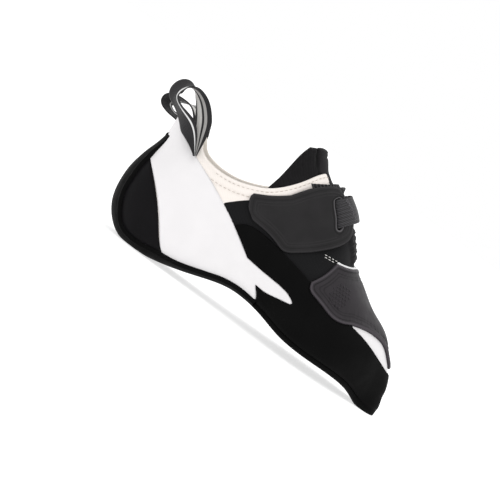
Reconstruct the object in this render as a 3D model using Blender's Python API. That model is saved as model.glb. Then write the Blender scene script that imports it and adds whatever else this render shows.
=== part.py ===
"""Climbing shoe for the right foot, downturned, closed by one strap, standing empty on its heel and toe.

Metres. +X runs from the heel to the toe, +Y towards the inner side of the foot, +Z up. The origin is on the
floor, under the middle of the heel's flat spot.

Everything is worked out from one last. Its sections are planes that fan round the heel and then walk to the
toe. Each section runs from a point on the back or bottom profile to a point on the instep ridge. A place on
the last is (u, arc, offset): u counts the rows of the table, arc is the distance along the section from the
ridge, positive on the outer side, and offset is the distance out from the skin.
"""

import math

import bmesh
import bpy
import numpy as np

# Driving dimensions
LENGTH = 0.250
RISE = 0.125
HEEL_HEIGHT = 0.0986
BALL_WIDTH = 0.083
HEEL_WIDTH = 0.062
SOLE = 0.0037
FLAT_DEPTH = 0.0018
WALL = 0.0020
GAP = 0.0003
RAND = 0.0014
HEEL_CUP = 0.0013
PANEL = 0.0009
TOE_PATCH = 0.0015
TONGUE = 0.0032
INSOLE = 0.0018
BOTTOM_CUT = 0.016
THROAT_WIDTH = 0.020
ELASTIC = 0.0010
WEBBING = 0.0010
TAB = 0.0021
SLOT_WIDTH = 0.0040
LOOP_WIDTH = 0.0140
LOOP_THICKNESS = 0.0011

# Where the heel's flat spot is, as a share of the length, and the heel's top edge, as a share of the rise
REST_AT = 0.147
HEEL_TOP_AT = 0.771
# The heel's own height stretches the profile behind the first share of the length and fades out by the second
HEEL_STRETCH_FROM, HEEL_STRETCH_TO = 0.10, 0.42

LIFT = SOLE + GAP - FLAT_DEPTH
HIDDEN_MARGIN = 0.060
OUTLINE_STEP = 0.0045

# Rows of the last. Profile points are percent of LENGTH and percent of RISE above the last's lowest point.
# outer, inner, low_y and top_y are percent of half the width, which goes from heel to ball by the column ball.
# outer_at and inner_at say how far up the section it is widest. The last three are superellipse powers.
COLUMNS = (
    "low_x", "low_z", "top_x", "top_z", "outer", "inner", "low_y", "top_y",
    "ball", "outer_at", "inner_at", "low_power", "outer_power", "inner_power",
)
LAST = (
    (4.9, 101.4, 42.2, 116.0, -84, 84, 0, 0, 0.0, 0.50, 0.50, 2.0, 2.0, 2.0),
    (4.3, 88.4, 45.5, 108.7, -85, 85, 0, 0, 0.0, 0.48, 0.48, 2.0, 2.0, 2.0),
    (3.7, 77.9, 48.1, 101.4, -87, 87, 0, 0, 0.0, 0.45, 0.45, 2.0, 2.0, 2.0),
    (3.9, 65.7, 49.5, 99.0, -89, 88, 0, 0, 0.0, 0.42, 0.42, 2.0, 2.0, 2.0),
    (3.4, 51.1, 50.7, 97.3, -93, 91, 0, 0, 0.0, 0.38, 0.38, 2.1, 2.0, 2.0),
    (2.0, 38.1, 51.9, 96.2, -97, 94, 0, 0, 0.0, 0.34, 0.34, 2.2, 2.1, 2.1),
    (1.8, 26.7, 53.2, 94.9, -100, 97, 0, 0, 0.0, 0.31, 0.31, 2.3, 2.1, 2.1),
    (3.2, 14.1, 54.4, 93.8, -100, 97, 0, 0, 0.0, 0.30, 0.30, 2.3, 2.2, 2.2),
    (7.8, 3.4, 56.0, 92.1, -100, 95, 0, 0, 0.0, 0.29, 0.29, 2.5, 2.2, 2.2),
    (15.3, 0.0, 57.6, 90.0, -98, 92, 0, 3, 0.0, 0.27, 0.28, 2.8, 2.3, 2.3),
    (26.5, 4.2, 59.7, 87.2, -92, 84, -3, 6, 0.2, 0.26, 0.28, 3.0, 2.3, 2.3),
    (35.9, 10.2, 61.7, 83.5, -88, 77, -4, 8, 0.45, 0.25, 0.29, 3.3, 2.2, 2.3),
    (45.3, 14.9, 64.1, 78.3, -90, 76, -5, 10, 0.7, 0.24, 0.29, 3.8, 2.1, 2.2),
    (55.6, 13.6, 67.4, 70.6, -96, 81, -5, 14, 0.9, 0.23, 0.28, 4.8, 2.0, 2.2),
    (63.8, 9.9, 70.6, 62.8, -101, 90, -2, 17, 1.0, 0.24, 0.28, 5.6, 1.9, 2.3),
    (72.4, 8.5, 75.5, 56.3, -99, 98, 2, 22, 1.0, 0.27, 0.30, 6.0, 1.9, 2.4),
    (80.8, 8.3, 82.0, 47.8, -82, 96, 12, 29, 1.0, 0.32, 0.34, 6.0, 1.95, 2.5),
    (88.7, 6.2, 88.5, 41.6, -45, 87, 24, 35, 1.0, 0.38, 0.40, 5.4, 2.1, 2.4),
    (94.0, 1.5, 93.1, 33.2, -9, 72, 32, 38, 1.0, 0.43, 0.44, 4.6, 2.2, 2.3),
    (97.4, 0.0, 96.2, 25.1, 11, 60, 35, 38, 1.0, 0.48, 0.48, 3.8, 2.2, 2.2),
    (98.8, 2.4, 98.5, 15.8, 26, 46, 37, 37, 1.0, 0.50, 0.50, 2.8, 2.2, 2.2),
    (99.0, 8.5, 99.0, 8.5, 37, 37, 37, 37, 1.0, 0.50, 0.50, 2.2, 2.2, 2.2),
)
# Where the rows of a form fall: every whole row round the heel, then closer, with two at the heel's flat spot
HEEL_ROWS = (0, 1, 2, 3, 4, 5, 6, 7, 8, 8.55, 9, 9.45)
FRONT_ROWS_FROM, FRONT_ROWS_STEP = 10, 0.5
# Where its columns fall, as shares of each half-section from the ridge to the low point. The share CORNER is
# the feather edge, the turn from the side into the bottom, so a column of every form runs along it.
CORNER = 0.64
HALF_COLUMNS = (0, 0.045, 0.11, 0.19, 0.28, 0.37, 0.46, 0.55, 0.61, CORNER, 0.69, 0.84, 1)
HALF_SAMPLES = 48

# Side-view outlines, percent of LENGTH and percent of RISE, as runs that meet at corners. Their zero is
# OUTLINE_ZERO percent of RISE above the last's lowest point.
OUTLINE_ZERO = -0.75
TOPLINE = (
    ((-4, 74.5), (1.5, 76.0), (4.6, 77.1), (9.0, 77.0), (12.2, 76.4)),
    ((12.2, 76.4), (13.9, 72.8), (15.4, 68.6), (18.4, 65.8), (22.6, 64.8), (29.3, 66.5), (32.7, 68.9),
     (36.3, 72.3), (41.9, 82.6), (44.4, 89.5), (46.3, 95.6), (48.2, 99.3), (50.5, 101.0), (54.0, 102.0)),
)
BAND_EDGE_BACK = ((4.2, 64.5), (4.1, 59.3), (3.7, 54.4), (3.4, 47.4))
BAND_EDGE_CUP = ((3.4, 47.4), (3.0, 41.0), (3.0, 33.8), (3.4, 23.5), (6.1, 11.3), (8.6, 6.1), (12.0, 3.9),
                 (15.6, 3.8), (19.5, 5.2), (23.3, 6.1))
BAND_EDGE_ARCH = ((23.3, 6.1), (27.8, 6.9), (32.0, 9.2), (36.4, 12.0), (40.9, 14.9), (45.9, 16.3), (53.0, 15.4))
CUP_EDGE = ((3.4, 47.4), (8.1, 39.8), (11.4, 33.6), (15.4, 24.8), (19.0, 15.3), (21.9, 8.4), (23.3, 6.1))
PANEL_FRONT = ((5.5, 76.6), (7.2, 72.3), (14.6, 63.9), (21.9, 58.1), (29.4, 50.9), (35.2, 44.6), (43.6, 34.2))
FLAME_TOP = ((43.6, 34.2), (49.9, 33.1), (54.2, 32.7), (57.7, 32.0), (60.4, 30.2), (61.6, 28.0), (61.0, 26.8))
FLAME_UNDER = ((61.0, 26.8), (56.9, 25.2), (53.3, 23.9), (50.0, 24.3))
FLAME_LOW = ((50.0, 24.3), (51.8, 20.2), (53.0, 15.4))
RAND_TOP_BACK = ((35.2, 44.6), (36.8, 48.0), (42.4, 50.5), (50.9, 48.7), (57.4, 46.6), (62.2, 44.6))
PATCH_REAR = ((76.0, 70.0), (71.3, 63.9), (65.3, 61.2))
PATCH_SIDE = ((65.3, 61.2), (64.2, 52.3), (62.2, 44.6))
PATCH_UNDER = ((62.2, 44.6), (62.8, 41.4), (66.6, 38.2), (74.5, 34.8), (76.6, 35.6), (79.0, 37.7))
PATCH_TOE = ((79.0, 37.7), (84.2, 39.6), (87.5, 39.3), (90.7, 37.4), (93.3, 33.6), (96.4, 27.4), (99.0, 22.5))
RAND_TOP_TOE = ((79.0, 37.7), (84.1, 35.6), (88.4, 32.7), (92.6, 29.0), (96.9, 25.0), (99.5, 22.3))
SOLE_LINE = ((53.0, 15.4), (58.0, 13.6), (63.8, 11.2), (72.4, 9.8), (80.8, 9.6), (88.7, 7.5), (94.0, 3.4),
             (97.4, 2.4), (103.0, 2.4))
TAB_OUTLINE = (
    ((34.3, 65.9), (34.0, 63.4), (34.7, 60.0)),
    ((34.7, 60.0), (36.5, 54.6), (38.6, 53.1), (42.8, 52.4), (47.7, 50.4)),
    ((47.7, 50.4), (51.0, 49.1), (52.6, 50.4)),
    ((52.6, 50.4), (60.0, 62.3), (62.5, 68.0), (63.8, 75.0), (62.2, 82.6), (56.0, 93.8), (52.7, 95.0),
     (48.8, 90.9), (43.2, 77.2)),
    ((43.2, 77.2), (39.0, 71.0), (34.3, 65.9)),
)
TONGUE_OUTLINE = (
    ((36.4, 71.0), (38.1, 88.7), (39.1, 101.7), (39.8, 105.9)),
    ((39.8, 105.9), (41.2, 107.4), (42.6, 109.6), (46.5, 110.0), (52.0, 108.0)),
    ((52.0, 108.0), (75.0, 80.0)),
    ((75.0, 80.0), (73.5, 57.0)),
    ((73.5, 57.0), (66.0, 58.0), (56.0, 66.0), (45.0, 67.0), (36.4, 71.0)),
)
FAR = 400

# Where the pieces run, in rows of the last
THROAT_ROWS = (2.0, 13.4)
THROAT_CLOSES_OVER = 1.2
TONGUE_ROWS = (0.0, 14.5)
TAB_ROWS = (3.5, 14.0)
BOTTOM_ROWS = (8.5, 18.0)
INSOLE_ROWS = (8.7, 17.8)
FOOTPRINT_ROWS = (12.5, 19.8)
FOOTPRINT_STEP = 0.25
TONGUE_COLUMNS = 4
INSOLE_COLUMNS = 5
INSOLE_GAP = 0.0009
INSOLE_MARGIN = 0.0065
BOTTOM_MARGIN = 0.011

# Strap, in rows of the last and metres from the ridge
STRAP_ROWS = (8.15, 11.15)
ELASTIC_ROWS = (5.2, 11.9)
SLOT_ARC = (0.0150, 0.0235)
ELASTIC_OUTER_ARC, ELASTIC_INNER_ARC = 0.028, -0.048
WEBBING_INNER_ARC = -0.044
WEBBING_RISE_ARC, WEBBING_TUCK_ARC = -0.036, -0.008
STRAP_CLEARANCE = 0.0004
TAB_ARCS = (0.0015, 0.078)
TAB_RESTS_AT = 0.0006
TAB_FALLS_FROM, TAB_FALLS_OVER = 0.030, 0.022
SLOT_MARGIN_ROWS = 0.12

# Pull loops: percent of LENGTH, percent of RISE, y in percent of half HEEL_WIDTH, then the strap's face
# direction. Both ends are sewn to the collar, the last end over the first.
OUTER_LOOP = (
    (14.4, 66.2, -96, (0.2, -1.0, 0.2)),
    (14.0, 71.5, -92, (0.2, -1.0, 0.2)),
    (12.9, 77.5, -87, (0.4, -1.0, 0.2)),
    (11.3, 83.5, -78, (0.6, -1.0, 0.3)),
    (8.9, 89.8, -68, (0.6, -0.9, 0.7)),
    (5.3, 94.4, -58, (0.3, -0.6, 1.0)),
    (1.6, 95.4, -52, (-0.2, -0.5, 1.0)),
    (-0.6, 92.4, -50, (-0.9, -0.7, 0.5)),
    (-0.9, 87.3, -52, (-1.0, -0.7, 0.0)),
    (0.3, 82.9, -57, (-0.8, -0.8, -0.5)),
    (3.0, 79.6, -66, (-0.5, -1.0, -0.7)),
    (6.8, 76.0, -82, (-0.3, -1.0, -0.5)),
    (10.6, 71.0, -100, (-0.1, -1.0, 0.0)),
    (13.9, 64.4, -106, (0.1, -1.0, 0.15)),
)
INNER_LOOP = (
    (14.4, 66.2, 93, (0.2, 1.0, 0.2)),
    (13.8, 71.5, 89, (0.2, 1.0, 0.2)),
    (12.2, 78.0, 82, (0.5, 0.9, 0.3)),
    (9.4, 83.6, 74, (0.6, 0.6, 0.8)),
    (5.4, 87.0, 68, (0.2, 0.25, 1.0)),
    (1.2, 86.2, 64, (-0.3, 0.2, 1.0)),
    (-1.5, 82.4, 62, (-1.0, 0.3, 0.5)),
    (-1.5, 78.0, 62, (-1.0, 0.3, -0.4)),
    (0.9, 74.9, 66, (-0.3, 0.4, -0.9)),
    (4.8, 73.9, 76, (-0.2, 0.8, -0.6)),
    (9.8, 70.4, 97, (-0.1, 1.0, 0.0)),
    (13.9, 64.4, 103, (0.1, 1.0, 0.15)),
)

# Materials: name, colour, roughness
RUBBER_BLACK = ("rubber_black", (0.012, 0.012, 0.013), 0.62)
RUBBER_GREY = ("rubber_grey", (0.055, 0.053, 0.056), 0.55)
KNIT_BLACK = ("fabric_black", (0.010, 0.010, 0.012), 0.9)
FABRIC_CREAM = ("fabric_cream", (0.78, 0.72, 0.68), 0.85)
PANEL_WHITE = ("panel_white", (0.86, 0.85, 0.85), 0.45)
WEBBING_BLACK = ("webbing_black", (0.018, 0.018, 0.020), 0.8)


def clear_scene():
    for obj in list(bpy.data.objects):
        bpy.data.objects.remove(obj)


def cubic(knots, values, at):
    """Natural cubic spline through values (rows by columns) at knots, read at the points in at."""
    knots, values, at = np.asarray(knots, float), np.asarray(values, float), np.asarray(at, float)
    steps = np.diff(knots)
    count = len(knots)
    matrix = np.eye(count)
    right = np.zeros_like(values)
    for i in range(1, count - 1):
        matrix[i, i - 1:i + 2] = steps[i - 1], 2 * (steps[i - 1] + steps[i]), steps[i]
        right[i] = 6 * ((values[i + 1] - values[i]) / steps[i] - (values[i] - values[i - 1]) / steps[i - 1])
    bends = np.linalg.solve(matrix, right)
    k = np.clip(np.searchsorted(knots, at, side="right") - 1, 0, count - 2)
    h = steps[k][:, None]
    a = (knots[k + 1] - at)[:, None] / h
    b = 1 - a
    return a * values[k] + b * values[k + 1] + ((a**3 - a) * bends[k] + (b**3 - b) * bends[k + 1]) * h**2 / 6


def height_stretch(x_share):
    """How much the heel's own height stretches the profile here. It is 1 from the instep forward."""
    t = np.clip((HEEL_STRETCH_TO - x_share) / (HEEL_STRETCH_TO - HEEL_STRETCH_FROM), 0, 1)
    heel = (HEEL_HEIGHT - LIFT) / (HEEL_TOP_AT * RISE)
    return 1 + (heel - 1) * t * t * (3 - 2 * t)


def profile_x(percent):
    return (np.asarray(percent, float) / 100 - REST_AT) * LENGTH


def profile_z(x_percent, z_percent):
    x_share = np.asarray(x_percent, float) / 100
    return LIFT + np.asarray(z_percent, float) / 100 * RISE * height_stretch(x_share)


def sections(us):
    """Half-section polylines of the last at each u: the outer side from ridge to low point, then the inner."""
    rows = cubic(np.arange(len(LAST)), LAST, us)
    read = {name: rows[:, i] for i, name in enumerate(COLUMNS)}
    half = (HEEL_WIDTH + (BALL_WIDTH - HEEL_WIDTH) * np.clip(read["ball"], 0, 1)) / 2
    low = np.stack([profile_x(read["low_x"]), profile_z(read["low_x"], read["low_z"])], 1)
    top = np.stack([profile_x(read["top_x"]), profile_z(read["top_x"], read["top_z"])], 1)
    turn = np.linspace(0, math.pi / 2, HALF_SAMPLES)
    sides = []
    for side in ("outer", "inner"):
        at = np.clip(read[side + "_at"], 0.1, 0.9)[:, None]
        crown = 2 / read[side + "_power"][:, None]
        foot = 2 / read["low_power"][:, None]
        wide = (read[side] / 100 * half)[:, None]
        y_top = (read["top_y"] / 100 * half)[:, None]
        y_low = (read["low_y"] / 100 * half)[:, None]
        upper_y = y_top + (wide - y_top) * np.sin(turn) ** crown
        upper_s = at + (1 - at) * np.cos(turn) ** crown
        lower_y = y_low + (wide - y_low) * np.cos(turn) ** foot
        lower_s = at * (1 - np.sin(turn) ** foot)
        y = np.concatenate([upper_y, lower_y[:, 1:]], 1)
        s = np.concatenate([upper_s, lower_s[:, 1:]], 1)
        xz = low[:, None, :] + s[:, :, None] * (top - low)[:, None, :]
        sides.append(np.stack([xz[:, :, 0], y, xz[:, :, 1]], 2))
    return sides


def along(polyline, lengths):
    """Points at the given lengths along one polyline, and its full length."""
    steps = np.linalg.norm(np.diff(polyline, axis=0), axis=1)
    run = np.concatenate([[0], np.cumsum(steps)])
    return np.stack([np.interp(lengths, run, polyline[:, i]) for i in range(3)], 1), run[-1]


def skin_points(us, arcs=None, shares=None):
    """Points on the last, as (row, column, 3). Columns are arcs from the ridge in metres, or shares from -1 to 1
    of each half-section, where 1 is the low point by the outer side and -1 the low point by the inner."""
    outer, inner = sections(us)
    corner = HALF_SAMPLES - 1 + HALF_SAMPLES // 2
    points = []
    for k in range(len(us)):
        if shares is not None:
            row = shares[k] if np.ndim(shares) == 2 else shares
            lengths = np.zeros(len(row))
            for side, sign in ((outer[k], 1), (inner[k], -1)):
                run = np.concatenate([[0], np.cumsum(np.linalg.norm(np.diff(side, axis=0), axis=1))])
                reach = np.interp(np.abs(row), (0, CORNER, 1), (0, run[corner], run[-1]))
                lengths = np.where(row * sign > 0, sign * reach, lengths)
        else:
            lengths = np.broadcast_to(arcs, (len(us), np.shape(arcs)[-1]))[k]
        on_outer, _ = along(outer[k], np.abs(lengths))
        on_inner, _ = along(inner[k], np.abs(lengths))
        points.append(np.where((lengths >= 0)[:, None], on_outer, on_inner))
    return np.array(points)


def place(us, arcs=None, shares=None, offsets=0.0):
    """Points at an offset from the skin. Normals come from small steps along the rows and the columns."""
    us = np.asarray(us, float)
    last_row = len(LAST) - 1
    step_u, step_arc, step_share = 0.02, 0.0008, 0.004
    before, after = np.clip(us - step_u, 0, last_row - 0.002), np.clip(us + step_u, 0, last_row - 0.001)
    if shares is not None:
        shares = np.asarray(shares, float)
        lower, upper = np.clip(shares - step_share, -1, 1), np.clip(shares + step_share, -1, 1)
        points = skin_points(us, shares=shares)
        near_row = np.clip(us, 0, last_row - 0.02)
        across = skin_points(near_row, shares=upper) - skin_points(near_row, shares=lower)
        lengthwise = skin_points(after, shares=shares) - skin_points(before, shares=shares)
    else:
        arcs = np.asarray(arcs, float)
        points = skin_points(us, arcs=arcs)
        across = skin_points(us, arcs=arcs + step_arc) - skin_points(us, arcs=arcs - step_arc)
        lengthwise = skin_points(after, arcs=arcs) - skin_points(before, arcs=arcs)
    normals = np.cross(across, lengthwise)
    normals /= np.maximum(np.linalg.norm(normals, axis=2, keepdims=True), 1e-12)
    if shares is not None and shares.ndim == 1:
        # The low line is shared by both sides, and the toe's end is one point, so each has one normal
        low = normals[:, 0] + normals[:, -1]
        low /= np.linalg.norm(low, axis=1, keepdims=True)
        normals[:, 0] = normals[:, -1] = low
        if us[-1] > last_row - 1e-6:
            tip = normals[-1].mean(0)
            normals[-1] = tip / np.linalg.norm(tip)
    return points + normals * np.broadcast_to(np.asarray(offsets, float)[..., None], points.shape)


def new_object(name, vertices, faces, material=None):
    """A named mesh object. With no material it is a cutter, which is hidden from the render."""
    mesh = bpy.data.meshes.new(name)
    mesh.from_pydata([tuple(map(float, v)) for v in vertices], [], [tuple(map(int, f)) for f in faces])
    work = bmesh.new()
    work.from_mesh(mesh)
    bmesh.ops.remove_doubles(work, verts=work.verts, dist=1e-7)
    bmesh.ops.recalc_face_normals(work, faces=work.faces)
    work.to_mesh(mesh)
    work.free()
    obj = bpy.data.objects.new(name, mesh)
    bpy.context.scene.collection.objects.link(obj)
    if material is None:
        obj.hide_render = True
        obj.display_type = "WIRE"
    else:
        mesh.materials.append(made_material(*material))
    return obj


def made_material(name, colour, roughness):
    found = bpy.data.materials.get(name)
    if found:
        return found
    material = bpy.data.materials.new(name)
    material.use_nodes = True
    shader = material.node_tree.nodes["Principled BSDF"]
    shader.inputs["Base Color"].default_value = (*colour, 1)
    shader.inputs["Roughness"].default_value = roughness
    shader.inputs["Metallic"].default_value = 0
    return material


def boolean(obj, cutter, operation):
    modifier = obj.modifiers.new(operation.title() + "_" + cutter.name, "BOOLEAN")
    modifier.operation = operation
    modifier.object = cutter
    modifier.solver = "EXACT"


def grid_faces(rows, columns, start, wraps, flip=False):
    """Triangles of a grid of vertices, always split along the same diagonal."""
    faces = []
    for i in range(rows - 1):
        for j in range(columns if wraps else columns - 1):
            a = start + i * columns + j
            b = start + i * columns + (j + 1) % columns
            c, d = b + columns, a + columns
            for face in ((a, b, c), (a, c, d)):
                faces.append(face[::-1] if flip else face)
    return faces


def last_rows(first=0.0, last=None):
    """The rows of a form between two rows of the last, with those two at its ends."""
    last = len(LAST) - 1 if last is None else last
    rows = HEEL_ROWS + tuple(np.arange(FRONT_ROWS_FROM, len(LAST) - 0.9, FRONT_ROWS_STEP))
    return np.array([first] + [u for u in rows if first + 0.2 < u < last - 0.2] + [last], float)


def around_shares():
    """The columns once round the last, from the low point by the inner side to the low point by the outer."""
    half = np.array(HALF_COLUMNS)
    return np.concatenate([-half[:0:-1], half])


def form(name, inner, outer, material=None, floor=False):
    """The whole last as a closed wall between two offsets, open at the ankle end."""
    us, shares = last_rows(), around_shares()
    skins = []
    for offset in (outer, inner):
        points = place(us, shares=shares, offsets=offset)[:, :-1]
        if floor and offset == outer:
            points[:, :, 2] = np.maximum(points[:, :, 2], 0)
        skins.append(points)
    rows, columns = len(us), len(shares) - 1
    vertices = np.concatenate([s.reshape(-1, 3) for s in skins])
    start = rows * columns
    faces = grid_faces(rows, columns, 0, True) + grid_faces(rows, columns, start, True, flip=True)
    for j in range(columns):
        k = (j + 1) % columns
        faces += [(k, j, start + j), (k, start + j, start + k)]
    return new_object(name, vertices, faces, material)


def piece(name, us, columns, inner, outer, material=None):
    """Part of a form between two offsets, over rows us and so many of its columns either side of the ridge."""
    middle = len(HALF_COLUMNS) - 1
    shares = around_shares()[middle - columns:middle + columns + 1]
    return closed(name, [skin_piece(us, shares, offset) for offset in (outer, inner)], material)


def skin_piece(us, shares, offset):
    return place(us, shares=np.broadcast_to(shares, (len(us), len(shares))), offsets=offset)


def block(name, us, arcs, inner, outer, material=None):
    """A patch of the last between two offsets, over rows us and arcs from the ridge."""
    return closed(name, [place(us, arcs=arcs, offsets=offset) for offset in (outer, inner)], material)


def closed(name, points, material=None):
    """Two grids of points, the outer and the inner, closed on their four sides."""
    rows, columns = points[0].shape[:2]
    start = rows * columns
    faces = grid_faces(rows, columns, 0, False) + grid_faces(rows, columns, start, False, flip=True)
    rim = [(0, j) for j in range(columns)] + [(i, columns - 1) for i in range(1, rows)]
    rim += [(rows - 1, j) for j in range(columns - 2, -1, -1)] + [(i, 0) for i in range(rows - 2, 0, -1)]
    ring = [i * columns + j for i, j in rim]
    for a, b in zip(ring, ring[1:] + ring[:1]):
        faces += [(a, b, start + b), (a, start + b, start + a)]
    return new_object(name, np.concatenate([p.reshape(-1, 3) for p in points]), faces, material)


def trace(*runs):
    """A side-view outline in metres from runs in percent. Each run is a smooth curve, and runs meet at corners."""
    outline = []
    for run in runs:
        run = np.array(run, float)
        run = np.stack([profile_x(run[:, 0]), profile_z(run[:, 0], run[:, 1] + OUTLINE_ZERO)], 1)
        chord = np.concatenate([[0], np.cumsum(np.linalg.norm(np.diff(run, axis=0), axis=1))])
        count = max(2, int(math.ceil(chord[-1] / OUTLINE_STEP))) if len(run) > 2 else 2
        at = np.linspace(0, chord[-1], count)
        curve = cubic(chord, run, at) if len(run) > 2 else run
        outline += [tuple(p) for p in curve[:-1]]
    outline.append(tuple(curve[-1]))
    return outline


def prism(name, outline, low_y=-HIDDEN_MARGIN, high_y=HIDDEN_MARGIN):
    """A closed side-view outline carried across the shoe, as a cutter."""
    if math.dist(outline[0], outline[-1]) < 1e-6:
        outline = outline[:-1]
    count = len(outline)
    vertices = [(x, low_y, z) for x, z in outline] + [(x, high_y, z) for x, z in outline]
    faces = [tuple(range(count)), tuple(range(2 * count - 1, count - 1, -1))]
    faces += [(i, (i + 1) % count, count + (i + 1) % count, count + i) for i in range(count)]
    return new_object(name, vertices, faces)


def reverse(run):
    return tuple(reversed(run))


def inset(outline, distance):
    """The outline moved inwards by distance, keeping its corners."""
    points = np.array(outline[:-1] if math.dist(outline[0], outline[-1]) < 1e-6 else outline)
    ahead, behind = np.roll(points, -1, 0) - points, points - np.roll(points, 1, 0)
    area = np.sum(points[:, 0] * np.roll(points[:, 1], -1) - np.roll(points[:, 0], -1) * points[:, 1])
    turn = 1 if area > 0 else -1
    normals = []
    for edge in (ahead, behind):
        normal = np.stack([-edge[:, 1], edge[:, 0]], 1) * turn
        normals.append(normal / np.linalg.norm(normal, axis=1, keepdims=True))
    mid = normals[0] + normals[1]
    mid /= np.maximum(np.sum(mid * normals[0], 1, keepdims=True), 0.35)
    return [tuple(p) for p in points + mid * distance]


def make_upper():
    """The hollow upper: cut open along the topline, down the throat and underneath, where the sole closes it."""
    upper = form("upper", -WALL, 0.0, FABRIC_CREAM)
    sky = trace(*TOPLINE) + [tuple(p) for p in trace(((54.0, FAR), (-4, FAR)))]
    boolean(upper, prism("cut_topline", sky), "DIFFERENCE")
    throat_rows = last_rows(*THROAT_ROWS)
    closing = np.sqrt(np.clip((THROAT_ROWS[1] - throat_rows) / THROAT_CLOSES_OVER, 0.02, 1))
    half = THROAT_WIDTH / 2 * closing
    arcs = half[:, None] * np.linspace(-1, 1, 5)
    boolean(upper, block("cut_throat", throat_rows, arcs, -2 * WALL, WALL), "DIFFERENCE")
    boolean(upper, bottom_cutter("cut_bottom", BOTTOM_MARGIN), "DIFFERENCE")
    return upper


def bottom_edge(us, side, margin):
    """Skin shares and points of the line that is margin in from the outline of the last, on one side."""
    shares = side * np.linspace(1, 0.5, 80)
    found, places = [], []
    for row in skin_points(us, shares=shares):
        reach = np.abs(row[:, 1] - row[0, 1])
        rising = slice(0, np.argmax(reach) + 1)
        share = np.interp(reach.max() - margin, reach[rising], shares[rising])
        found.append(share)
        places.append([row[0, 0], row[0, 1] - side * (reach.max() - margin), row[0, 2]])
    return np.array(found), np.array(places)


def bottom_cutter(name, margin):
    """A block through the bottom wall, margin in from the outline of the last, from heel to toe."""
    us = last_rows(*BOTTOM_ROWS)
    floor = np.stack([bottom_edge(us, side, margin)[1] for side in (1, -1)], 1)
    roof = floor + np.array([0, 0, BOTTOM_CUT])
    floor[:, :, 2] = -0.01
    return closed(name, [roof, floor])


def make_insole():
    """The board inside the shoe, on the upper's turned-in edge."""
    us = last_rows(*INSOLE_ROWS)
    outer, inner = (bottom_edge(us, side, INSOLE_MARGIN)[0] for side in (1, -1))
    steps = np.linspace(0, 1, INSOLE_COLUMNS)
    shares = np.stack([outer + (1 - outer) * t for t in steps] + [inner - (1 + inner) * t for t in steps[-2::-1]], 1)
    top = -WALL - INSOLE_GAP
    return closed("insole", [place(us, shares=shares, offsets=top - INSOLE), place(us, shares=shares, offsets=top)],
                  FABRIC_CREAM)


def band_outline():
    """The heel band in side view: the strip outside the inner edge, from the tip at the back to the arch."""
    edge = trace(BAND_EDGE_BACK, BAND_EDGE_CUP, BAND_EDGE_ARCH)
    outside = trace(((53.0, 15.4), (53.0, -40)), ((53.0, -40), (-30, -40)), ((-30, -40), (-30, 72)),
                    ((-30, 72), (4.2, 64.5)))
    return edge + outside[1:]


def make_heel_band():
    band = form("heel_band", GAP, GAP + SOLE, RUBBER_BLACK, floor=True)
    boolean(band, prism("cut_band", band_outline()), "INTERSECT")
    return band


def footprint(name):
    """The sole's plan outline as a cutter with upright walls, flush with the rand above it."""
    us = np.arange(FOOTPRINT_ROWS[0], FOOTPRINT_ROWS[1] + FOOTPRINT_STEP / 2, FOOTPRINT_STEP)
    shares = np.linspace(1, 0.3, 60)
    line = np.array(trace(SOLE_LINE))
    ring = []
    for side in (1, -1):
        points = place(us, shares=np.concatenate([side * shares, [-side]]), offsets=GAP + RAND)[:, :-1]
        above = points[:, :, 2] > np.interp(points[:, :, 0], line[:, 0], line[:, 1])
        ring.append([row[np.argmax(over)] for row, over in zip(points, above) if over.any() and not over[0]])
    count = min(len(side) for side in ring)
    roof = np.stack([np.array(side[:count]) for side in ring], 1)
    floor = roof.copy()
    roof[:, :, 2], floor[:, :, 2] = 0.05, -0.01
    return closed(name, [roof, floor])


def make_outsole():
    """The forefoot sole, trimmed to its plan so that its edge is square, for edging."""
    sole = form("outsole", GAP, GAP + SOLE, RUBBER_BLACK, floor=True)
    boolean(sole, footprint("cut_footprint"), "INTERSECT")
    edge = trace(SOLE_LINE)
    start = profile_x(53.0) + GAP
    edge = [(max(x, start), z) for x, z in edge]
    edge += [tuple(p) for p in trace(((103.0, 2.4), (103.0, -40)), ((103.0, -40), (53.0, -40)))][1:-1]
    boolean(sole, prism("cut_sole", edge + [(start, edge[-1][1])]), "INTERSECT")
    return sole


def make_heel_cup(name, side):
    cup = form(name, GAP, GAP + HEEL_CUP, RUBBER_BLACK)
    outline = inset(trace(BAND_EDGE_CUP, reverse(CUP_EDGE)), GAP)
    limits = (-HIDDEN_MARGIN, 0.0) if side < 0 else (0.0, HIDDEN_MARGIN)
    boolean(cup, prism("cut_" + name, outline, *limits), "INTERSECT")
    return cup


def make_heel_panel():
    """The pale panel that wraps the heel's top and runs down both sides to two points at the arch."""
    panel = form("heel_panel", GAP, GAP + PANEL, PANEL_WHITE)
    outline = trace(reverse(BAND_EDGE_BACK), ((4.2, 64.5), (-12, 70)), ((-12, 70), (-12, 73.0)),
                    ((-12, 73.0), (1.5, 75.3), (5.5, 76.3)), PANEL_FRONT, FLAME_TOP, FLAME_UNDER, FLAME_LOW,
                    reverse(BAND_EDGE_ARCH), reverse(CUP_EDGE))
    boolean(panel, prism("cut_panel", inset(outline, GAP)), "INTERSECT")
    return panel


def make_rand():
    """The rubber rand round the forefoot, from the wing beside the strap to the toe."""
    rand = form("forefoot_rand", GAP, GAP + RAND, RUBBER_BLACK)
    outline = trace(RAND_TOP_BACK, PATCH_UNDER, RAND_TOP_TOE, ((99.5, 22.3), (104.0, 22.3)),
                    ((104.0, 22.3), (104.0, 2.4)), ((104.0, 2.4), (103.0, 2.4)), reverse(SOLE_LINE),
                    reverse(FLAME_LOW), reverse(FLAME_UNDER), reverse(FLAME_TOP),
                    ((43.6, 34.2), (35.2, 44.6)))
    boolean(rand, prism("cut_rand", inset(outline, GAP)), "INTERSECT")
    return rand


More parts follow.
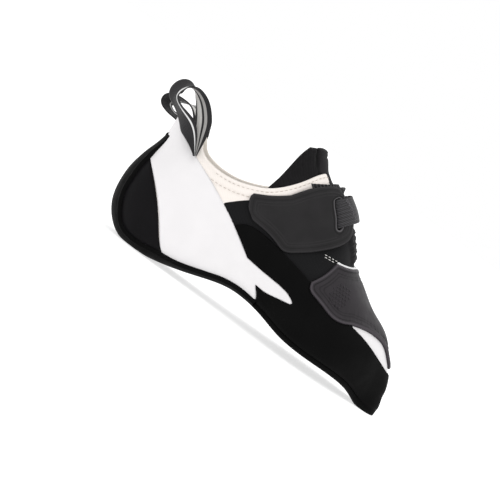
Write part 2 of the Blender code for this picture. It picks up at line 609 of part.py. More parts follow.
def make_toe_patch():
    patch = form("toe_patch", GAP, GAP + TOE_PATCH, RUBBER_GREY)
    outline = trace(PATCH_REAR, PATCH_SIDE, PATCH_UNDER, PATCH_TOE, ((99.0, 22.5), (104.0, 24.0)),
                    ((104.0, 24.0), (104.0, 70.0)), ((104.0, 70.0), (76.0, 70.0)))
    boolean(patch, prism("cut_patch", inset(outline, GAP)), "INTERSECT")
    return patch


def make_tongue():
    """The padded tongue, inside the upper, standing up out of the throat round the front of the ankle."""
    outer = -WALL - GAP
    tongue = piece("tongue", last_rows(*TONGUE_ROWS), TONGUE_COLUMNS, outer - TONGUE, outer, KNIT_BLACK)
    boolean(tongue, prism("cut_tongue", trace(*TONGUE_OUTLINE)), "INTERSECT")
    return tongue


def strap_levels():
    """Offsets of the strap's layers over the instep, from the skin out: elastic, lower webbing, tab, upper."""
    elastic = (STRAP_CLEARANCE, STRAP_CLEARANCE + ELASTIC)
    lower = elastic[1] + STRAP_CLEARANCE
    tab = lower + WEBBING + STRAP_CLEARANCE
    upper = tab + TAB + STRAP_CLEARANCE
    return elastic, lower, tab, upper


def make_elastic():
    """The wide elastic gusset over the throat, from under the tab to the inner side."""
    us = np.linspace(*ELASTIC_ROWS, 9)
    arcs = np.linspace(ELASTIC_INNER_ARC, ELASTIC_OUTER_ARC, 20)
    low, high = strap_levels()[0]
    return block("strap_elastic", us, arcs, low, high, KNIT_BLACK)


def slot_arcs(us):
    share = (np.asarray(us) - STRAP_ROWS[0]) / (STRAP_ROWS[1] - STRAP_ROWS[0])
    return SLOT_ARC[0] + (SLOT_ARC[1] - SLOT_ARC[0]) * share


def tab_offset(arcs):
    """The tab lies down on the side of the shoe and rises over the webbing near its slot."""
    t = np.clip((np.asarray(arcs) - TAB_FALLS_FROM) / TAB_FALLS_OVER, 0, 1)
    smooth = t * t * (3 - 2 * t)
    raised = strap_levels()[2]
    return raised + (TAB_RESTS_AT - raised) * smooth


def make_tab():
    """The moulded rubber tab of the strap, with the slot that the webbing turns round."""
    us = last_rows(*TAB_ROWS)
    arcs = np.linspace(*TAB_ARCS, 17)
    low = np.broadcast_to(tab_offset(arcs), (len(us), len(arcs)))
    tab = block("strap_tab", us, arcs, low, low + TAB, RUBBER_BLACK)
    boolean(tab, prism("cut_tab", trace(*TAB_OUTLINE)), "INTERSECT")
    rows = np.linspace(STRAP_ROWS[0] - SLOT_MARGIN_ROWS, STRAP_ROWS[1] + SLOT_MARGIN_ROWS, 5)
    across = slot_arcs(rows)[:, None] + np.linspace(-SLOT_WIDTH / 2, SLOT_WIDTH / 2, 2)
    boolean(tab, block("cut_slot", rows, across, 0.0, 0.012), "DIFFERENCE")
    return tab


def make_webbing():
    """The strap's webbing: sewn low on the inner side, over the instep, round the tab's bar and back under it."""
    _, lower, _, upper = strap_levels()
    low, high = lower + WEBBING / 2, upper + WEBBING / 2
    radius = (high - low) / 2
    turn_at = SLOT_WIDTH / 2 - WEBBING / 2 - STRAP_CLEARANCE
    inward = np.linspace(WEBBING_INNER_ARC, 0, 13)
    rise = np.clip(1 - inward / WEBBING_RISE_ARC, 0, 1)
    run_in = np.stack([inward, low + (high - low) * rise**2 * (3 - 2 * rise)], 1)
    tucked = np.linspace(0, WEBBING_TUCK_ARC, 4)
    us = np.linspace(*STRAP_ROWS, 6)
    rings = []
    for u in us:
        bar = slot_arcs(u) + turn_at - radius
        centre = [tuple(p) for p in run_in] + [(bar * share, high) for share in (0.25, 0.5, 0.75, 0.95)]
        centre += [(bar + radius * math.sin(t), (low + high) / 2 + radius * math.cos(t))
                   for t in np.linspace(0, math.pi, 7)]
        centre += [(bar * share, low) for share in (0.95, 0.75, 0.5, 0.25)] + [(a, low) for a in tucked]
        centre = np.array(centre)
        heading = np.gradient(centre, axis=0)
        heading /= np.linalg.norm(heading, axis=1, keepdims=True)
        side = np.stack([-heading[:, 1], heading[:, 0]], 1) * WEBBING / 2
        ring = np.concatenate([centre + side, (centre - side)[::-1]])
        rings.append(place([u], arcs=ring[:, 0], offsets=ring[:, 1])[0])
    return sweep("strap_webbing", rings, WEBBING_BLACK)


def sweep(name, rings, material):
    """A solid through closed rings of equally many points, where each ring is a thin strip folded back."""
    rings = np.array(rings)
    count, size = rings.shape[:2]
    faces = grid_faces(count, size, 0, True)
    half = size // 2
    for start, flip in ((0, False), ((count - 1) * size, True)):
        for j in range(half - 1):
            a, b, c, d = start + j, start + j + 1, start + size - 2 - j, start + size - 1 - j
            for face in ((a, b, c), (a, c, d)):
                faces.append(face[::-1] if flip else face)
    return new_object(name, rings.reshape(-1, 3), faces, material)


def make_loop(name, table):
    """A pull loop: a strap that leaves the collar, turns round behind the heel and is sewn down over its start."""
    knots = np.arange(len(table))
    at = np.linspace(0, len(table) - 1, 3 * (len(table) - 1) + 1)
    places = np.array([(profile_x(x), y / 100 * HEEL_WIDTH / 2, profile_z(x, z + OUTLINE_ZERO))
                       for x, z, y, _ in table])
    faces = np.array([face for *_, face in table], float)
    centre = cubic(knots, places, at)
    facing = cubic(knots, faces, at)
    heading = np.gradient(centre, axis=0)
    heading /= np.linalg.norm(heading, axis=1, keepdims=True)
    facing -= np.sum(facing * heading, 1, keepdims=True) * heading
    facing /= np.linalg.norm(facing, axis=1, keepdims=True)
    across = np.cross(heading, facing)
    rings = []
    for c, f, a in zip(centre, facing, across):
        half, thick = a * LOOP_WIDTH / 2, f * LOOP_THICKNESS / 2
        rings.append([c - half - thick, c + half - thick, c + half + thick, c - half + thick])
    return sweep(name, rings, WEBBING_BLACK)


def main():
    clear_scene()
    make_upper()
    make_insole()
    make_heel_band()
    make_outsole()
    make_rand()
    make_heel_cup("heel_cup_outer", -1)
    make_heel_cup("heel_cup_inner", 1)
    make_heel_panel()
    make_toe_patch()
    make_tongue()
    make_elastic()
    make_tab()
    make_webbing()
    make_loop("pull_loop_outer", OUTER_LOOP)
    make_loop("pull_loop_inner", INNER_LOOP)


main()
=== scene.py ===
"""Looks of the climbing shoe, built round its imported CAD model.

Metres, in the CAD's frame: +X runs from the heel to the toe, +Y towards the inner side of the foot, +Z up, and
the origin is on the floor under the heel's flat spot. The shoe is for the right foot.

Every piece lies on one last, the same as the CAD's. A place on the last is (u, arc, offset): u counts the rows
of the table LAST, arc is the distance along the section from the instep ridge, positive on the outer side, and
offset is the distance out from the skin. The panels are cut from fine sheets of the last along the same
side-view outlines as the CAD's solids, with rounded edges.
"""

import math

import bpy
import numpy as np
from mathutils import Matrix, Vector
from mathutils.bvhtree import BVHTree


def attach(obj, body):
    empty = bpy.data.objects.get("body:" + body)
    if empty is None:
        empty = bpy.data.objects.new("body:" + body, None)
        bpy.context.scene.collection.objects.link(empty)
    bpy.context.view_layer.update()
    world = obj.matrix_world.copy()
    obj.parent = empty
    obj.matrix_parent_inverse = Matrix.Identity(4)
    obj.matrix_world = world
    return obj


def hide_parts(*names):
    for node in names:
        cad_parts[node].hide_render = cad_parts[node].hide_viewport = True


# Driving dimensions
LENGTH = 0.250
RISE = 0.125
HEEL_HEIGHT = 0.0986
BALL_WIDTH = 0.083
HEEL_WIDTH = 0.062
SOLE = 0.0037
FLAT_DEPTH = 0.0018
WALL = 0.0020
GAP = 0.0003
RAND = 0.0014
HEEL_CUP = 0.0013
PANEL = 0.0009
TOE_PATCH = 0.0015
TONGUE = 0.0032
INSOLE = 0.0018
THROAT_WIDTH = 0.020
ELASTIC = 0.0010
WEBBING = 0.0010
TAB = 0.0021
SLOT_WIDTH = 0.0040
LOOP_WIDTH = 0.0140
LOOP_THICKNESS = 0.0011

# Where the heel's flat spot is, as a share of the length, and the heel's top edge, as a share of the rise
REST_AT = 0.147
HEEL_TOP_AT = 0.771
# The heel's own height stretches the profile behind the first share of the length and fades out by the second
HEEL_STRETCH_FROM, HEEL_STRETCH_TO = 0.10, 0.42

LIFT = SOLE + GAP - FLAT_DEPTH
OUTLINE_STEP = 0.0020

# Rows of the last. Profile points are percent of LENGTH and percent of RISE above the last's lowest point.
# outer, inner, low_y and top_y are percent of half the width, which goes from heel to ball by the column ball.
# outer_at and inner_at say how far up the section it is widest. The last three are superellipse powers.
COLUMNS = (
    "low_x", "low_z", "top_x", "top_z", "outer", "inner", "low_y", "top_y",
    "ball", "outer_at", "inner_at", "low_power", "outer_power", "inner_power",
)
LAST = (
    (4.9, 101.4, 42.2, 116.0, -84, 84, 0, 0, 0.0, 0.50, 0.50, 2.0, 2.0, 2.0),
    (4.3, 88.4, 45.5, 108.7, -85, 85, 0, 0, 0.0, 0.48, 0.48, 2.0, 2.0, 2.0),
    (3.7, 77.9, 48.1, 101.4, -87, 87, 0, 0, 0.0, 0.45, 0.45, 2.0, 2.0, 2.0),
    (3.9, 65.7, 49.5, 99.0, -89, 88, 0, 0, 0.0, 0.42, 0.42, 2.0, 2.0, 2.0),
    (3.4, 51.1, 50.7, 97.3, -93, 91, 0, 0, 0.0, 0.38, 0.38, 2.1, 2.0, 2.0),
    (2.0, 38.1, 51.9, 96.2, -97, 94, 0, 0, 0.0, 0.34, 0.34, 2.2, 2.1, 2.1),
    (1.8, 26.7, 53.2, 94.9, -100, 97, 0, 0, 0.0, 0.31, 0.31, 2.3, 2.1, 2.1),
    (3.2, 14.1, 54.4, 93.8, -100, 97, 0, 0, 0.0, 0.30, 0.30, 2.3, 2.2, 2.2),
    (7.8, 3.4, 56.0, 92.1, -100, 95, 0, 0, 0.0, 0.29, 0.29, 2.5, 2.2, 2.2),
    (15.3, 0.0, 57.6, 90.0, -98, 92, 0, 3, 0.0, 0.27, 0.28, 2.8, 2.3, 2.3),
    (26.5, 4.2, 59.7, 87.2, -92, 84, -3, 6, 0.2, 0.26, 0.28, 3.0, 2.3, 2.3),
    (35.9, 10.2, 61.7, 83.5, -88, 77, -4, 8, 0.45, 0.25, 0.29, 3.3, 2.2, 2.3),
    (45.3, 14.9, 64.1, 78.3, -90, 76, -5, 10, 0.7, 0.24, 0.29, 3.8, 2.1, 2.2),
    (55.6, 13.6, 67.4, 70.6, -96, 81, -5, 14, 0.9, 0.23, 0.28, 4.8, 2.0, 2.2),
    (63.8, 9.9, 70.6, 62.8, -101, 90, -2, 17, 1.0, 0.24, 0.28, 5.6, 1.9, 2.3),
    (72.4, 8.5, 75.5, 56.3, -99, 98, 2, 22, 1.0, 0.27, 0.30, 6.0, 1.9, 2.4),
    (80.8, 8.3, 82.0, 47.8, -82, 96, 12, 29, 1.0, 0.32, 0.34, 6.0, 1.95, 2.5),
    (88.7, 6.2, 88.5, 41.6, -45, 87, 24, 35, 1.0, 0.38, 0.40, 5.4, 2.1, 2.4),
    (94.0, 1.5, 93.1, 33.2, -9, 72, 32, 38, 1.0, 0.43, 0.44, 4.6, 2.2, 2.3),
    (97.4, 0.0, 96.2, 25.1, 11, 60, 35, 38, 1.0, 0.48, 0.48, 3.8, 2.2, 2.2),
    (98.8, 2.4, 98.5, 15.8, 26, 46, 37, 37, 1.0, 0.50, 0.50, 2.8, 2.2, 2.2),
    (99.0, 8.5, 99.0, 8.5, 37, 37, 37, 37, 1.0, 0.50, 0.50, 2.2, 2.2, 2.2),
)
# The share of each half-section, from the ridge to the low point, where the side turns into the bottom
CORNER = 0.64
HALF_SAMPLES = 48
# Steps for the skin's normals: rows, metres round the section, and shares of the half-section
ROW_STEP, ARC_STEP, SHARE_STEP = 0.02, 0.0008, 0.004

# Side-view outlines, percent of LENGTH and percent of RISE, as runs that meet at corners. Their zero is
# OUTLINE_ZERO percent of RISE above the last's lowest point.
OUTLINE_ZERO = -0.75
TOPLINE = (
    ((-4, 74.5), (1.5, 76.0), (4.6, 77.1), (9.0, 77.0), (12.2, 76.4)),
    ((12.2, 76.4), (13.9, 72.8), (15.4, 68.6), (18.4, 65.8), (22.6, 64.8), (29.3, 66.5), (32.7, 68.9),
     (36.3, 72.3), (41.9, 82.6), (44.4, 89.5), (46.3, 95.6), (48.2, 99.3), (50.5, 101.0), (54.0, 102.0)),
)
BAND_EDGE_BACK = ((4.2, 64.5), (4.1, 59.3), (3.7, 54.4), (3.4, 47.4))
BAND_EDGE_CUP = ((3.4, 47.4), (3.0, 41.0), (3.0, 33.8), (3.4, 23.5), (6.1, 11.3), (8.6, 6.1), (12.0, 3.9),
                 (15.6, 3.8), (19.5, 5.2), (23.3, 6.1))
BAND_EDGE_ARCH = ((23.3, 6.1), (27.8, 6.9), (32.0, 9.2), (36.4, 12.0), (40.9, 14.9), (45.9, 16.3), (53.0, 15.4))
CUP_EDGE = ((3.4, 47.4), (8.1, 39.8), (11.4, 33.6), (15.4, 24.8), (19.0, 15.3), (21.9, 8.4), (23.3, 6.1))
PANEL_FRONT = ((5.5, 76.6), (7.2, 72.3), (14.6, 63.9), (21.9, 58.1), (29.4, 50.9), (35.2, 44.6), (43.6, 34.2))
FLAME_TOP = ((43.6, 34.2), (49.9, 33.1), (54.2, 32.7), (57.7, 32.0), (60.4, 30.2), (61.6, 28.0), (61.0, 26.8))
FLAME_UNDER = ((61.0, 26.8), (56.9, 25.2), (53.3, 23.9), (50.0, 24.3))
FLAME_LOW = ((50.0, 24.3), (51.8, 20.2), (53.0, 15.4))
RAND_TOP_BACK = ((35.2, 44.6), (36.8, 48.0), (42.4, 50.5), (50.9, 48.7), (57.4, 46.6), (62.2, 44.6))
PATCH_REAR = ((76.0, 70.0), (71.3, 63.9), (65.3, 61.2))
PATCH_SIDE = ((65.3, 61.2), (64.2, 52.3), (62.2, 44.6))
PATCH_UNDER = ((62.2, 44.6), (62.8, 41.4), (66.6, 38.2), (74.5, 34.8), (76.6, 35.6), (79.0, 37.7))
PATCH_TOE = ((79.0, 37.7), (84.2, 39.6), (87.5, 39.3), (90.7, 37.4), (93.3, 33.6), (96.4, 27.4), (99.0, 22.5))
RAND_TOP_TOE = ((79.0, 37.7), (84.1, 35.6), (88.4, 32.7), (92.6, 29.0), (96.9, 25.0), (99.5, 22.3))
SOLE_LINE = ((53.0, 15.4), (58.0, 13.6), (63.8, 11.2), (72.4, 9.8), (80.8, 9.6), (88.7, 7.5), (94.0, 3.4),
             (97.4, 2.4), (103.0, 2.4))
TAB_OUTLINE = (
    ((34.3, 65.9), (34.0, 63.4), (34.7, 60.0)),
    ((34.7, 60.0), (36.5, 54.6), (38.6, 53.1), (42.8, 52.4), (47.7, 50.4)),
    ((47.7, 50.4), (51.0, 49.1), (52.6, 50.4)),
    ((52.6, 50.4), (60.0, 62.3), (62.5, 68.0), (63.8, 75.0), (62.2, 82.6), (56.0, 93.8), (52.7, 95.0),
     (48.8, 90.9), (43.2, 77.2)),
    ((43.2, 77.2), (39.0, 71.0), (34.3, 65.9)),
)
TONGUE_OUTLINE = (
    ((36.4, 71.0), (38.1, 88.7), (39.1, 101.7), (39.8, 105.9)),
    ((39.8, 105.9), (41.2, 107.4), (42.6, 109.6), (46.5, 110.0), (52.0, 108.0)),
    ((52.0, 108.0), (75.0, 80.0)),
    ((75.0, 80.0), (73.5, 57.0)),
    ((73.5, 57.0), (66.0, 58.0), (56.0, 66.0), (45.0, 67.0), (36.4, 71.0)),
)
FAR = 400

# Where the pieces run, in rows of the last
THROAT_ROWS = (2.0, 13.4)
THROAT_CLOSES_OVER = 1.2
TONGUE_ROWS = (0.0, 14.5)
TAB_ROWS = (3.5, 14.0)
INSOLE_ROWS = (8.7, 17.8)
TONGUE_REACH = 0.28
INSOLE_GAP = 0.0009
INSOLE_MARGIN = 0.0065

# Strap, in rows of the last and metres from the ridge
STRAP_ROWS = (8.15, 11.15)
ELASTIC_ROWS = (5.2, 11.9)
SLOT_ARC = (0.0150, 0.0235)
ELASTIC_OUTER_ARC, ELASTIC_INNER_ARC = 0.028, -0.048
WEBBING_INNER_ARC = -0.044
WEBBING_RISE_ARC, WEBBING_TUCK_ARC = -0.036, -0.008
STRAP_CLEARANCE = 0.0004
# The webbing's half width as its material reads it, and how it thins out at its sides
STRAP_HALF, STRAP_REACH, STRAP_EDGE, THINNEST = 0.0125, 0.02, 0.0012, 0.24
TAB_ARCS = (0.0015, 0.078)
TAB_RESTS_AT = 0.0006
TAB_FALLS_FROM, TAB_FALLS_OVER = 0.030, 0.022
SLOT_MARGIN_ROWS = 0.12

# Pull loops: percent of LENGTH, percent of RISE, y in percent of half HEEL_WIDTH, then the direction of the
# strap's width. Both ends are sewn to the collar, the last end over the first, and taper to a point there.
OUTER_LOOP = (
    (14.5, 63.6, -99, (1.0, -0.10, 0.1)),
    (13.4, 69.5, -96, (1.0, -0.20, 0.1)),
    (12.2, 75.0, -91, (0.95, -0.40, 0.15)),
    (10.9, 80.5, -84, (0.90, -0.50, 0.25)),
    (9.1, 85.6, -76, (0.85, -0.60, 0.25)),
    (6.6, 90.4, -68, (0.75, -0.65, 0.10)),
    (3.4, 93.6, -62, (0.70, -0.70, 0.0)),
    (0.6, 92.9, -58, (0.70, -0.70, -0.05)),
    (-0.8, 89.0, -56, (0.70, -0.70, -0.08)),
    (-0.5, 84.6, -58, (0.65, -0.75, -0.05)),
    (1.9, 80.9, -64, (0.50, -0.85, 0.10)),
    (5.6, 77.2, -76, (0.65, -0.75, 0.25)),
    (9.3, 73.0, -92, (0.85, -0.50, 0.35)),
    (12.2, 68.0, -103, (0.95, -0.30, 0.30)),
    (14.4, 63.4, -107, (0.95, -0.20, 0.20)),
)
INNER_LOOP = (
    (14.0, 66.2, 93, (1.0, 0.10, 0.1)),
    (12.9, 71.0, 89, (1.0, 0.20, 0.1)),
    (11.2, 76.6, 82, (0.90, 0.50, 0.2)),
    (8.4, 81.4, 74, (0.80, 0.65, 0.2)),
    (4.6, 84.2, 68, (0.70, 0.70, 0.0)),
    (0.4, 83.4, 64, (0.70, 0.70, 0.0)),
    (-2.2, 80.2, 62, (0.70, 0.70, -0.08)),
    (-2.1, 76.6, 62, (0.65, 0.75, -0.05)),
    (0.5, 73.9, 66, (0.45, 0.85, 0.10)),
    (4.4, 73.0, 76, (0.35, 0.90, 0.25)),
    (9.4, 70.0, 97, (0.50, 0.80, 0.35)),
    (13.6, 64.4, 103, (0.70, 0.50, 0.30)),
)
# A loop tapers over the last of its length to a share of its width. It is cupped, and thins out at its sides to
# a share of its thickness.
LOOP_TAPER, LOOP_SEWN, LOOP_TIP, LOOP_CUP, LOOP_EDGE, LOOP_THINNEST = 0.026, 0.003, 0.12, 0.0006, 0.0006, 0.15
PATCH_STITCHES = (((61.0, 61.2), (65.1, 61.9)), ((61.4, 60.0), (65.0, 60.6)))
STRAP_TACK_ROWS, STRAP_TACK_ARCS = (8.4, 10.9), (0.0088, 0.0112)

# Sheets: the last sampled finely, and the bands beside an edge where the faces are halved
SHEET_HEEL_STEP, SHEET_FRONT_STEP = 1 / 8, 1 / 11
SHEET_COLUMNS = 113
EDGE_BANDS = (0.0030, 0.0014)
COLOUR_BANDS = (0.0012,)
# Faces further than this outside a region are dropped before the cut
BORDER_MARGIN = 0.004
ROW_SPACING = 0.024

# Camera: at the photograph's angle to the shoe, which the photograph shows rolled toe down
CAMERA_ELEVATION, CAMERA_ROLL = math.radians(4), math.radians(35.9)
CAMERA_TARGET = (0.0704, 0.0, 0.0471)
CAMERA_DISTANCE = 1.6
FRAME_WIDTH = 0.3635
SENSOR = 36.0

# Side-view areas of the upper's own colours: the black textile below the collar, and the white at the toe
BLACK_AREA = (
    ((29.1, 51.7), (32.1, 57.4), (35.1, 62.4)),
    ((35.1, 62.4), (39.8, 69.4), (44.4, 76.6), (49.8, 89.3), (53.2, 93.2), (57.6, 90.2)),
    ((57.6, 90.2), (80.0, 120.0)),
    ((80.0, 120.0), (110.0, 60.0)),
    ((110.0, 60.0), (110.0, -20.0)),
    ((110.0, -20.0), (20.0, -20.0)),
    ((20.0, -20.0), (29.1, 51.7)),
)
TOE_AREA = (
    ((79.4, 30.0), (79.4, 44.0)),
    ((79.4, 44.0), (110.0, 44.0)),
    ((110.0, 44.0), (110.0, 10.0)),
    ((110.0, 10.0), (79.4, 30.0)),
)
# Soft folds: from and to in percent, as the outlines, then the width and the height in metres, and the side,
# -1 for the outer, 1 for the inner and 0 for both
FOLDS = (
    ((18.0, 60.0), (30.0, 46.0), 0.0040, -0.0004, 0),
    ((27.0, 64.0), (34.0, 55.0), 0.0030, -0.0005, 0),
    ((30.0, 62.0), (36.0, 66.0), 0.0028, 0.0005, 0),
    ((40.0, 47.0), (52.0, 40.0), 0.0040, -0.0005, 0),
    ((57.0, 50.0), (63.0, 58.0), 0.0030, -0.0005, 0),
    ((59.0, 47.0), (64.0, 52.0), 0.0026, 0.0004, 0),
)
# Raised and sunk lines are rows of (distance in from a border, width, height)
COLLAR_PADDING, COLLAR_DEPTH, BINDING_DEPTH = 0.0008, 0.0085, 0.0028
COLLAR_SEAMS = ((COLLAR_DEPTH, 0.0022, -0.0004), (BINDING_DEPTH, 0.0016, -0.0004))
# The collar's stitch rows: metres below the topline, and where each ends, in percent
COLLAR_STITCHES, COLLAR_STITCHES_FROM = ((COLLAR_DEPTH - 0.0002, 47.0), (BINDING_DEPTH, 50.0)), 22.0
INNER_PADDING = 0.4
TEXTILE, TEXTILE_EDGE = 0.0003, 0.0005
# The gap between neighbouring panels, how far their borders start below the skin, and how far in from its border
# each piece is rounded
EDGE_GAP = 0.00015
PANEL_SINK = 0.0002
EDGES = {
    "upper": WALL * 0.6, "panel": 0.0009, "band": 0.0022, "cup": 0.0010, "rand": 0.0008, "patch": 0.0012,
    "tongue": TONGUE / 2, "insole": 0.0015, "elastic": 0.0006, "tab": 0.0010, "knit": 0.0008,
}
HEEL_LIP = ((0.0016, 0.0026, 0.0004),)
# The rim beside the toe patch's border, level as far in as the first distance and gone at the second
PATCH_RIM, PATCH_RIM_FADE = 0.0007, (0.0026, 0.0036)
PATCH_GROOVES = ((0.0062, 0.0014, -0.0004), (0.0082, 0.0014, -0.0004))
# Painted highlight on the rim beside the patch's border, and painted shade in the dip inside the rim and in the two
# sunk grooves: rows of (from, to, factor)
PATCH_PAINTED_LIGHT = ((0.0003, 0.0017, 2.3), (0.0026, 0.0034, 0.4), (0.0058, 0.0066, 0.55), (0.0078, 0.0086, 0.6))
# Beside the slot, the tab's material reads SLOT_MARK plus the distance from the slot, not from the outline
SLOT_MARK, SLOT_MARK_REACH = 0.1, 0.0035
SLOT_RIM = ((0.0009, 0.0018, 0.0006),)
# The tab's front corner is cut away where the arc and the row are both below these
TAB_CORNER = (0.0098, 7.9)
TAB_BEVEL, TAB_BEVEL_FADE = 0.0006, (0.0008, 0.0032)
TAB_LINES = ((0.0050, 0.0011, 0.00035), (0.0068, 0.0011, 0.00035))
TAB_OUTLINE_AT = 0.0015
# Painted highlight on the tab's edge, on its raised lines and on the slot's rim, and painted shade at the foot of
# the edge's bevel and beside the slot's rim: rows of (from, to, factor)
TAB_PAINTED_LIGHT = ((0.0005, 0.0012, 1.7), (0.0029, 0.0034, 0.6), (0.0047, 0.0053, 1.45), (0.0065, 0.0071, 1.4),
             (SLOT_MARK + 0.0002, SLOT_MARK + 0.0013, 6.0), (SLOT_MARK + 0.0018, SLOT_MARK + 0.0026, 0.5))
PATCH_DOTS, PATCH_DOT_OVAL = (71.4, 47.0), (0.0068, 0.0086)
PATCH_DOT_PITCH, PATCH_DOT_RADIUS, PATCH_DOT_HEIGHT = 0.0026, 0.0009, 0.0005
# A dot's and a stitch's profiles, as shares of their radius and height or length. DOT_MARK is the distance from
# the patch's border that the dots' material reads, clear of the border's painted lines of highlight and shade.
DOT_PROFILE, DOT_SIDES, DOT_MARK = ((1.0, -0.15), (0.86, 0.55), (0.5, 0.92)), 10, 0.0045
STITCH, STITCH_SIDES = ((0.0, 0.35), (0.12, 0.85), (0.5, 1.0), (0.88, 0.85), (1.0, 0.35)), 6
# Stitches, as (length, gap, radius)
STITCHES = {
    "collar_stitches": (0.0022, 0.0013, 0.00022),
    "patch_stitches": (0.0019, 0.0011, 0.00034),
    "strap_tacks": (0.0016, 0.0004, 0.00032),
}
STITCHES_AT, TACK_LIFT = 0.0005, 0.0001
# The piping: its radius, its offset from the skin, how far it lies behind the patch's edge, and its smoothing
PIPING_RADIUS, PIPING_AT, PIPING_LIFT, PIPING_BACK = 0.0008, 0.0006, 0.0002, 0.0006
PIPING_PASSES, PIPING_SIDES = 6, 8
TONGUE_SWELL, TONGUE_SWELLS_OVER = 0.0007, 0.012
# The line where the tongue's two layers part: its arc and width, its depth, and the notch it makes at the top
TONGUE_PARTING, PARTING_DEPTH, TONGUE_NOTCH, TONGUE_NOTCH_DEPTH = (0.0165, 0.0027), 0.0021, 0.0032, 0.010
TONGUE_QUILT = ((0.0022, 0.0016, 0.0005), (0.0062, 0.0022, -0.0007))
# The insole's distance in from its edge and its width, a cell of its grid
INSOLE_CELL, INSOLE_COLUMN = 0.002, 0.0028
SOLE_TUCK = 0.0012
SOLE_PROUD, TOE_PROUD, SOLE_LAP = 0.0002, 0.0027, 0.0006
# Where along the shoe the toe's stand-out begins and is full, and where above the sole's line it fades on the rand
TOE_PROUD_ENDS, TOE_PROUD_FADE = (92.0, 99.0), (0.001, 0.013)
RAND_FOLDS = 0.6
SOLE_RIM, SOLE_EDGE, SOLE_LEAST = 0.007, 0.0009, 0.0012
# The sole's upright edge, as shares of its height and metres in from its outline
SOLE_WALL = ((0.35, 0.0), (0.7, 0.0), (0.93, 0.0), (1.0, 0.0003), (1.0, 0.0018))
BAND_THINS, BAND_TIP_SHARE = (46.0, 65.0), 0.72
RIB_PITCH, RIB_HEIGHT = 0.0029, 0.0007
ELASTIC_FOLD, ELASTIC_FOLD_HEIGHT = ((6.7, 1.6), (-0.003, 0.015)), 0.0034
KNIT_ROWS, KNIT_ARCS, KNIT_BULGE = (11.5, 13.75), (-0.018, 0.016), 0.0022
# Its bunches are waves of (turn by row, turn by metre of arc, share of the bulge)
KNIT_WAVES = ((17, 260, 0.1575), (29, -420, 0.09))
KNIT_HEIGHT, KNIT_RISES_OVER = 0.0002, 0.006
SLOT_ROW_SPACING = 0.0065

WORLD_LIGHT = 1.0
LIGHTS = (
    ("key", (-0.9, -1.3, 1.7), 1.0, 5.0),
    ("fill", (1.4, -0.7, 1.1), 0.9, 3.0),
    ("top", (0.3, 0.4, 1.9), 1.0, 4.0),
)
# The floor glows: painted light that lifts the shoe's shadow on it and lights the shoe from below
FLOOR_GLOW = 0.68
FLOOR_COLOUR = (0.6, 0.6, 0.6)
FLOOR_HALF = 12.0


def cubic(knots, values, at):
    """Natural cubic spline through values (rows by columns) at knots, read at the points in at."""
    knots, values, at = np.asarray(knots, float), np.asarray(values, float), np.asarray(at, float)
    steps = np.diff(knots)
    count = len(knots)
    matrix = np.eye(count)
    right = np.zeros_like(values)
    for i in range(1, count - 1):
        matrix[i, i - 1:i + 2] = steps[i - 1], 2 * (steps[i - 1] + steps[i]), steps[i]
        right[i] = 6 * ((values[i + 1] - values[i]) / steps[i] - (values[i] - values[i - 1]) / steps[i - 1])
    bends = np.linalg.solve(matrix, right)
    k = np.clip(np.searchsorted(knots, at, side="right") - 1, 0, count - 2)
    h = steps[k][:, None]
    a = (knots[k + 1] - at)[:, None] / h
    b = 1 - a
    return a * values[k] + b * values[k + 1] + ((a**3 - a) * bends[k] + (b**3 - b) * bends[k + 1]) * h**2 / 6


def smooth(value, low, high):
    """From 0 at low to 1 at high, level at both."""
    t = np.clip((value - low) / (high - low), 0, 1)
    return t * t * (3 - 2 * t)


def ridge(value, at, width):
    """A soft ridge of height 1 along value == at."""
    t = np.clip(np.abs(value - at) / (width / 2), 0, 1)
    return (1 - t * t) ** 2


def ridges(distance, table):
    """Lines along a border, from rows of (distance in, width, height)."""
    return sum(height * ridge(distance, at, width) for at, width, height in table)


def rounded(distance, radius):
    """From 0 at an edge to 1 a radius in from it, as a quarter circle."""
    return np.sqrt(1 - (1 - np.clip(distance / radius, 0, 1)) ** 2)


def unit(vectors):
    return vectors / np.maximum(np.linalg.norm(vectors, axis=-1, keepdims=True), 1e-12)


def run_length(line):
    """How far along a polyline each of its points is."""
    return np.concatenate([[0], np.cumsum(np.linalg.norm(np.diff(line, axis=0), axis=1))])


def along(line, lengths, values=None):
    """The points at lengths along a polyline, or what values, one for each of its points, are there."""
    run = run_length(line)
    return np.stack([np.interp(lengths, run, column) for column in (line if values is None else values).T], -1)


def height_stretch(x_share):
    """How much the heel's own height stretches the profile here. It is 1 from the instep forward."""
    heel = (HEEL_HEIGHT - LIFT) / (HEEL_TOP_AT * RISE)
    return 1 + (heel - 1) * smooth(x_share, HEEL_STRETCH_TO, HEEL_STRETCH_FROM)


def profile_x(percent):
    return (np.asarray(percent, float) / 100 - REST_AT) * LENGTH


def profile_z(x_percent, z_percent):
    x_share = np.asarray(x_percent, float) / 100
    return LIFT + np.asarray(z_percent, float) / 100 * RISE * height_stretch(x_share)


def side_view(x_percent, z_percent):
    """Metres in the side view, from an outline's percent."""
    return profile_x(x_percent), profile_z(x_percent, z_percent + OUTLINE_ZERO)


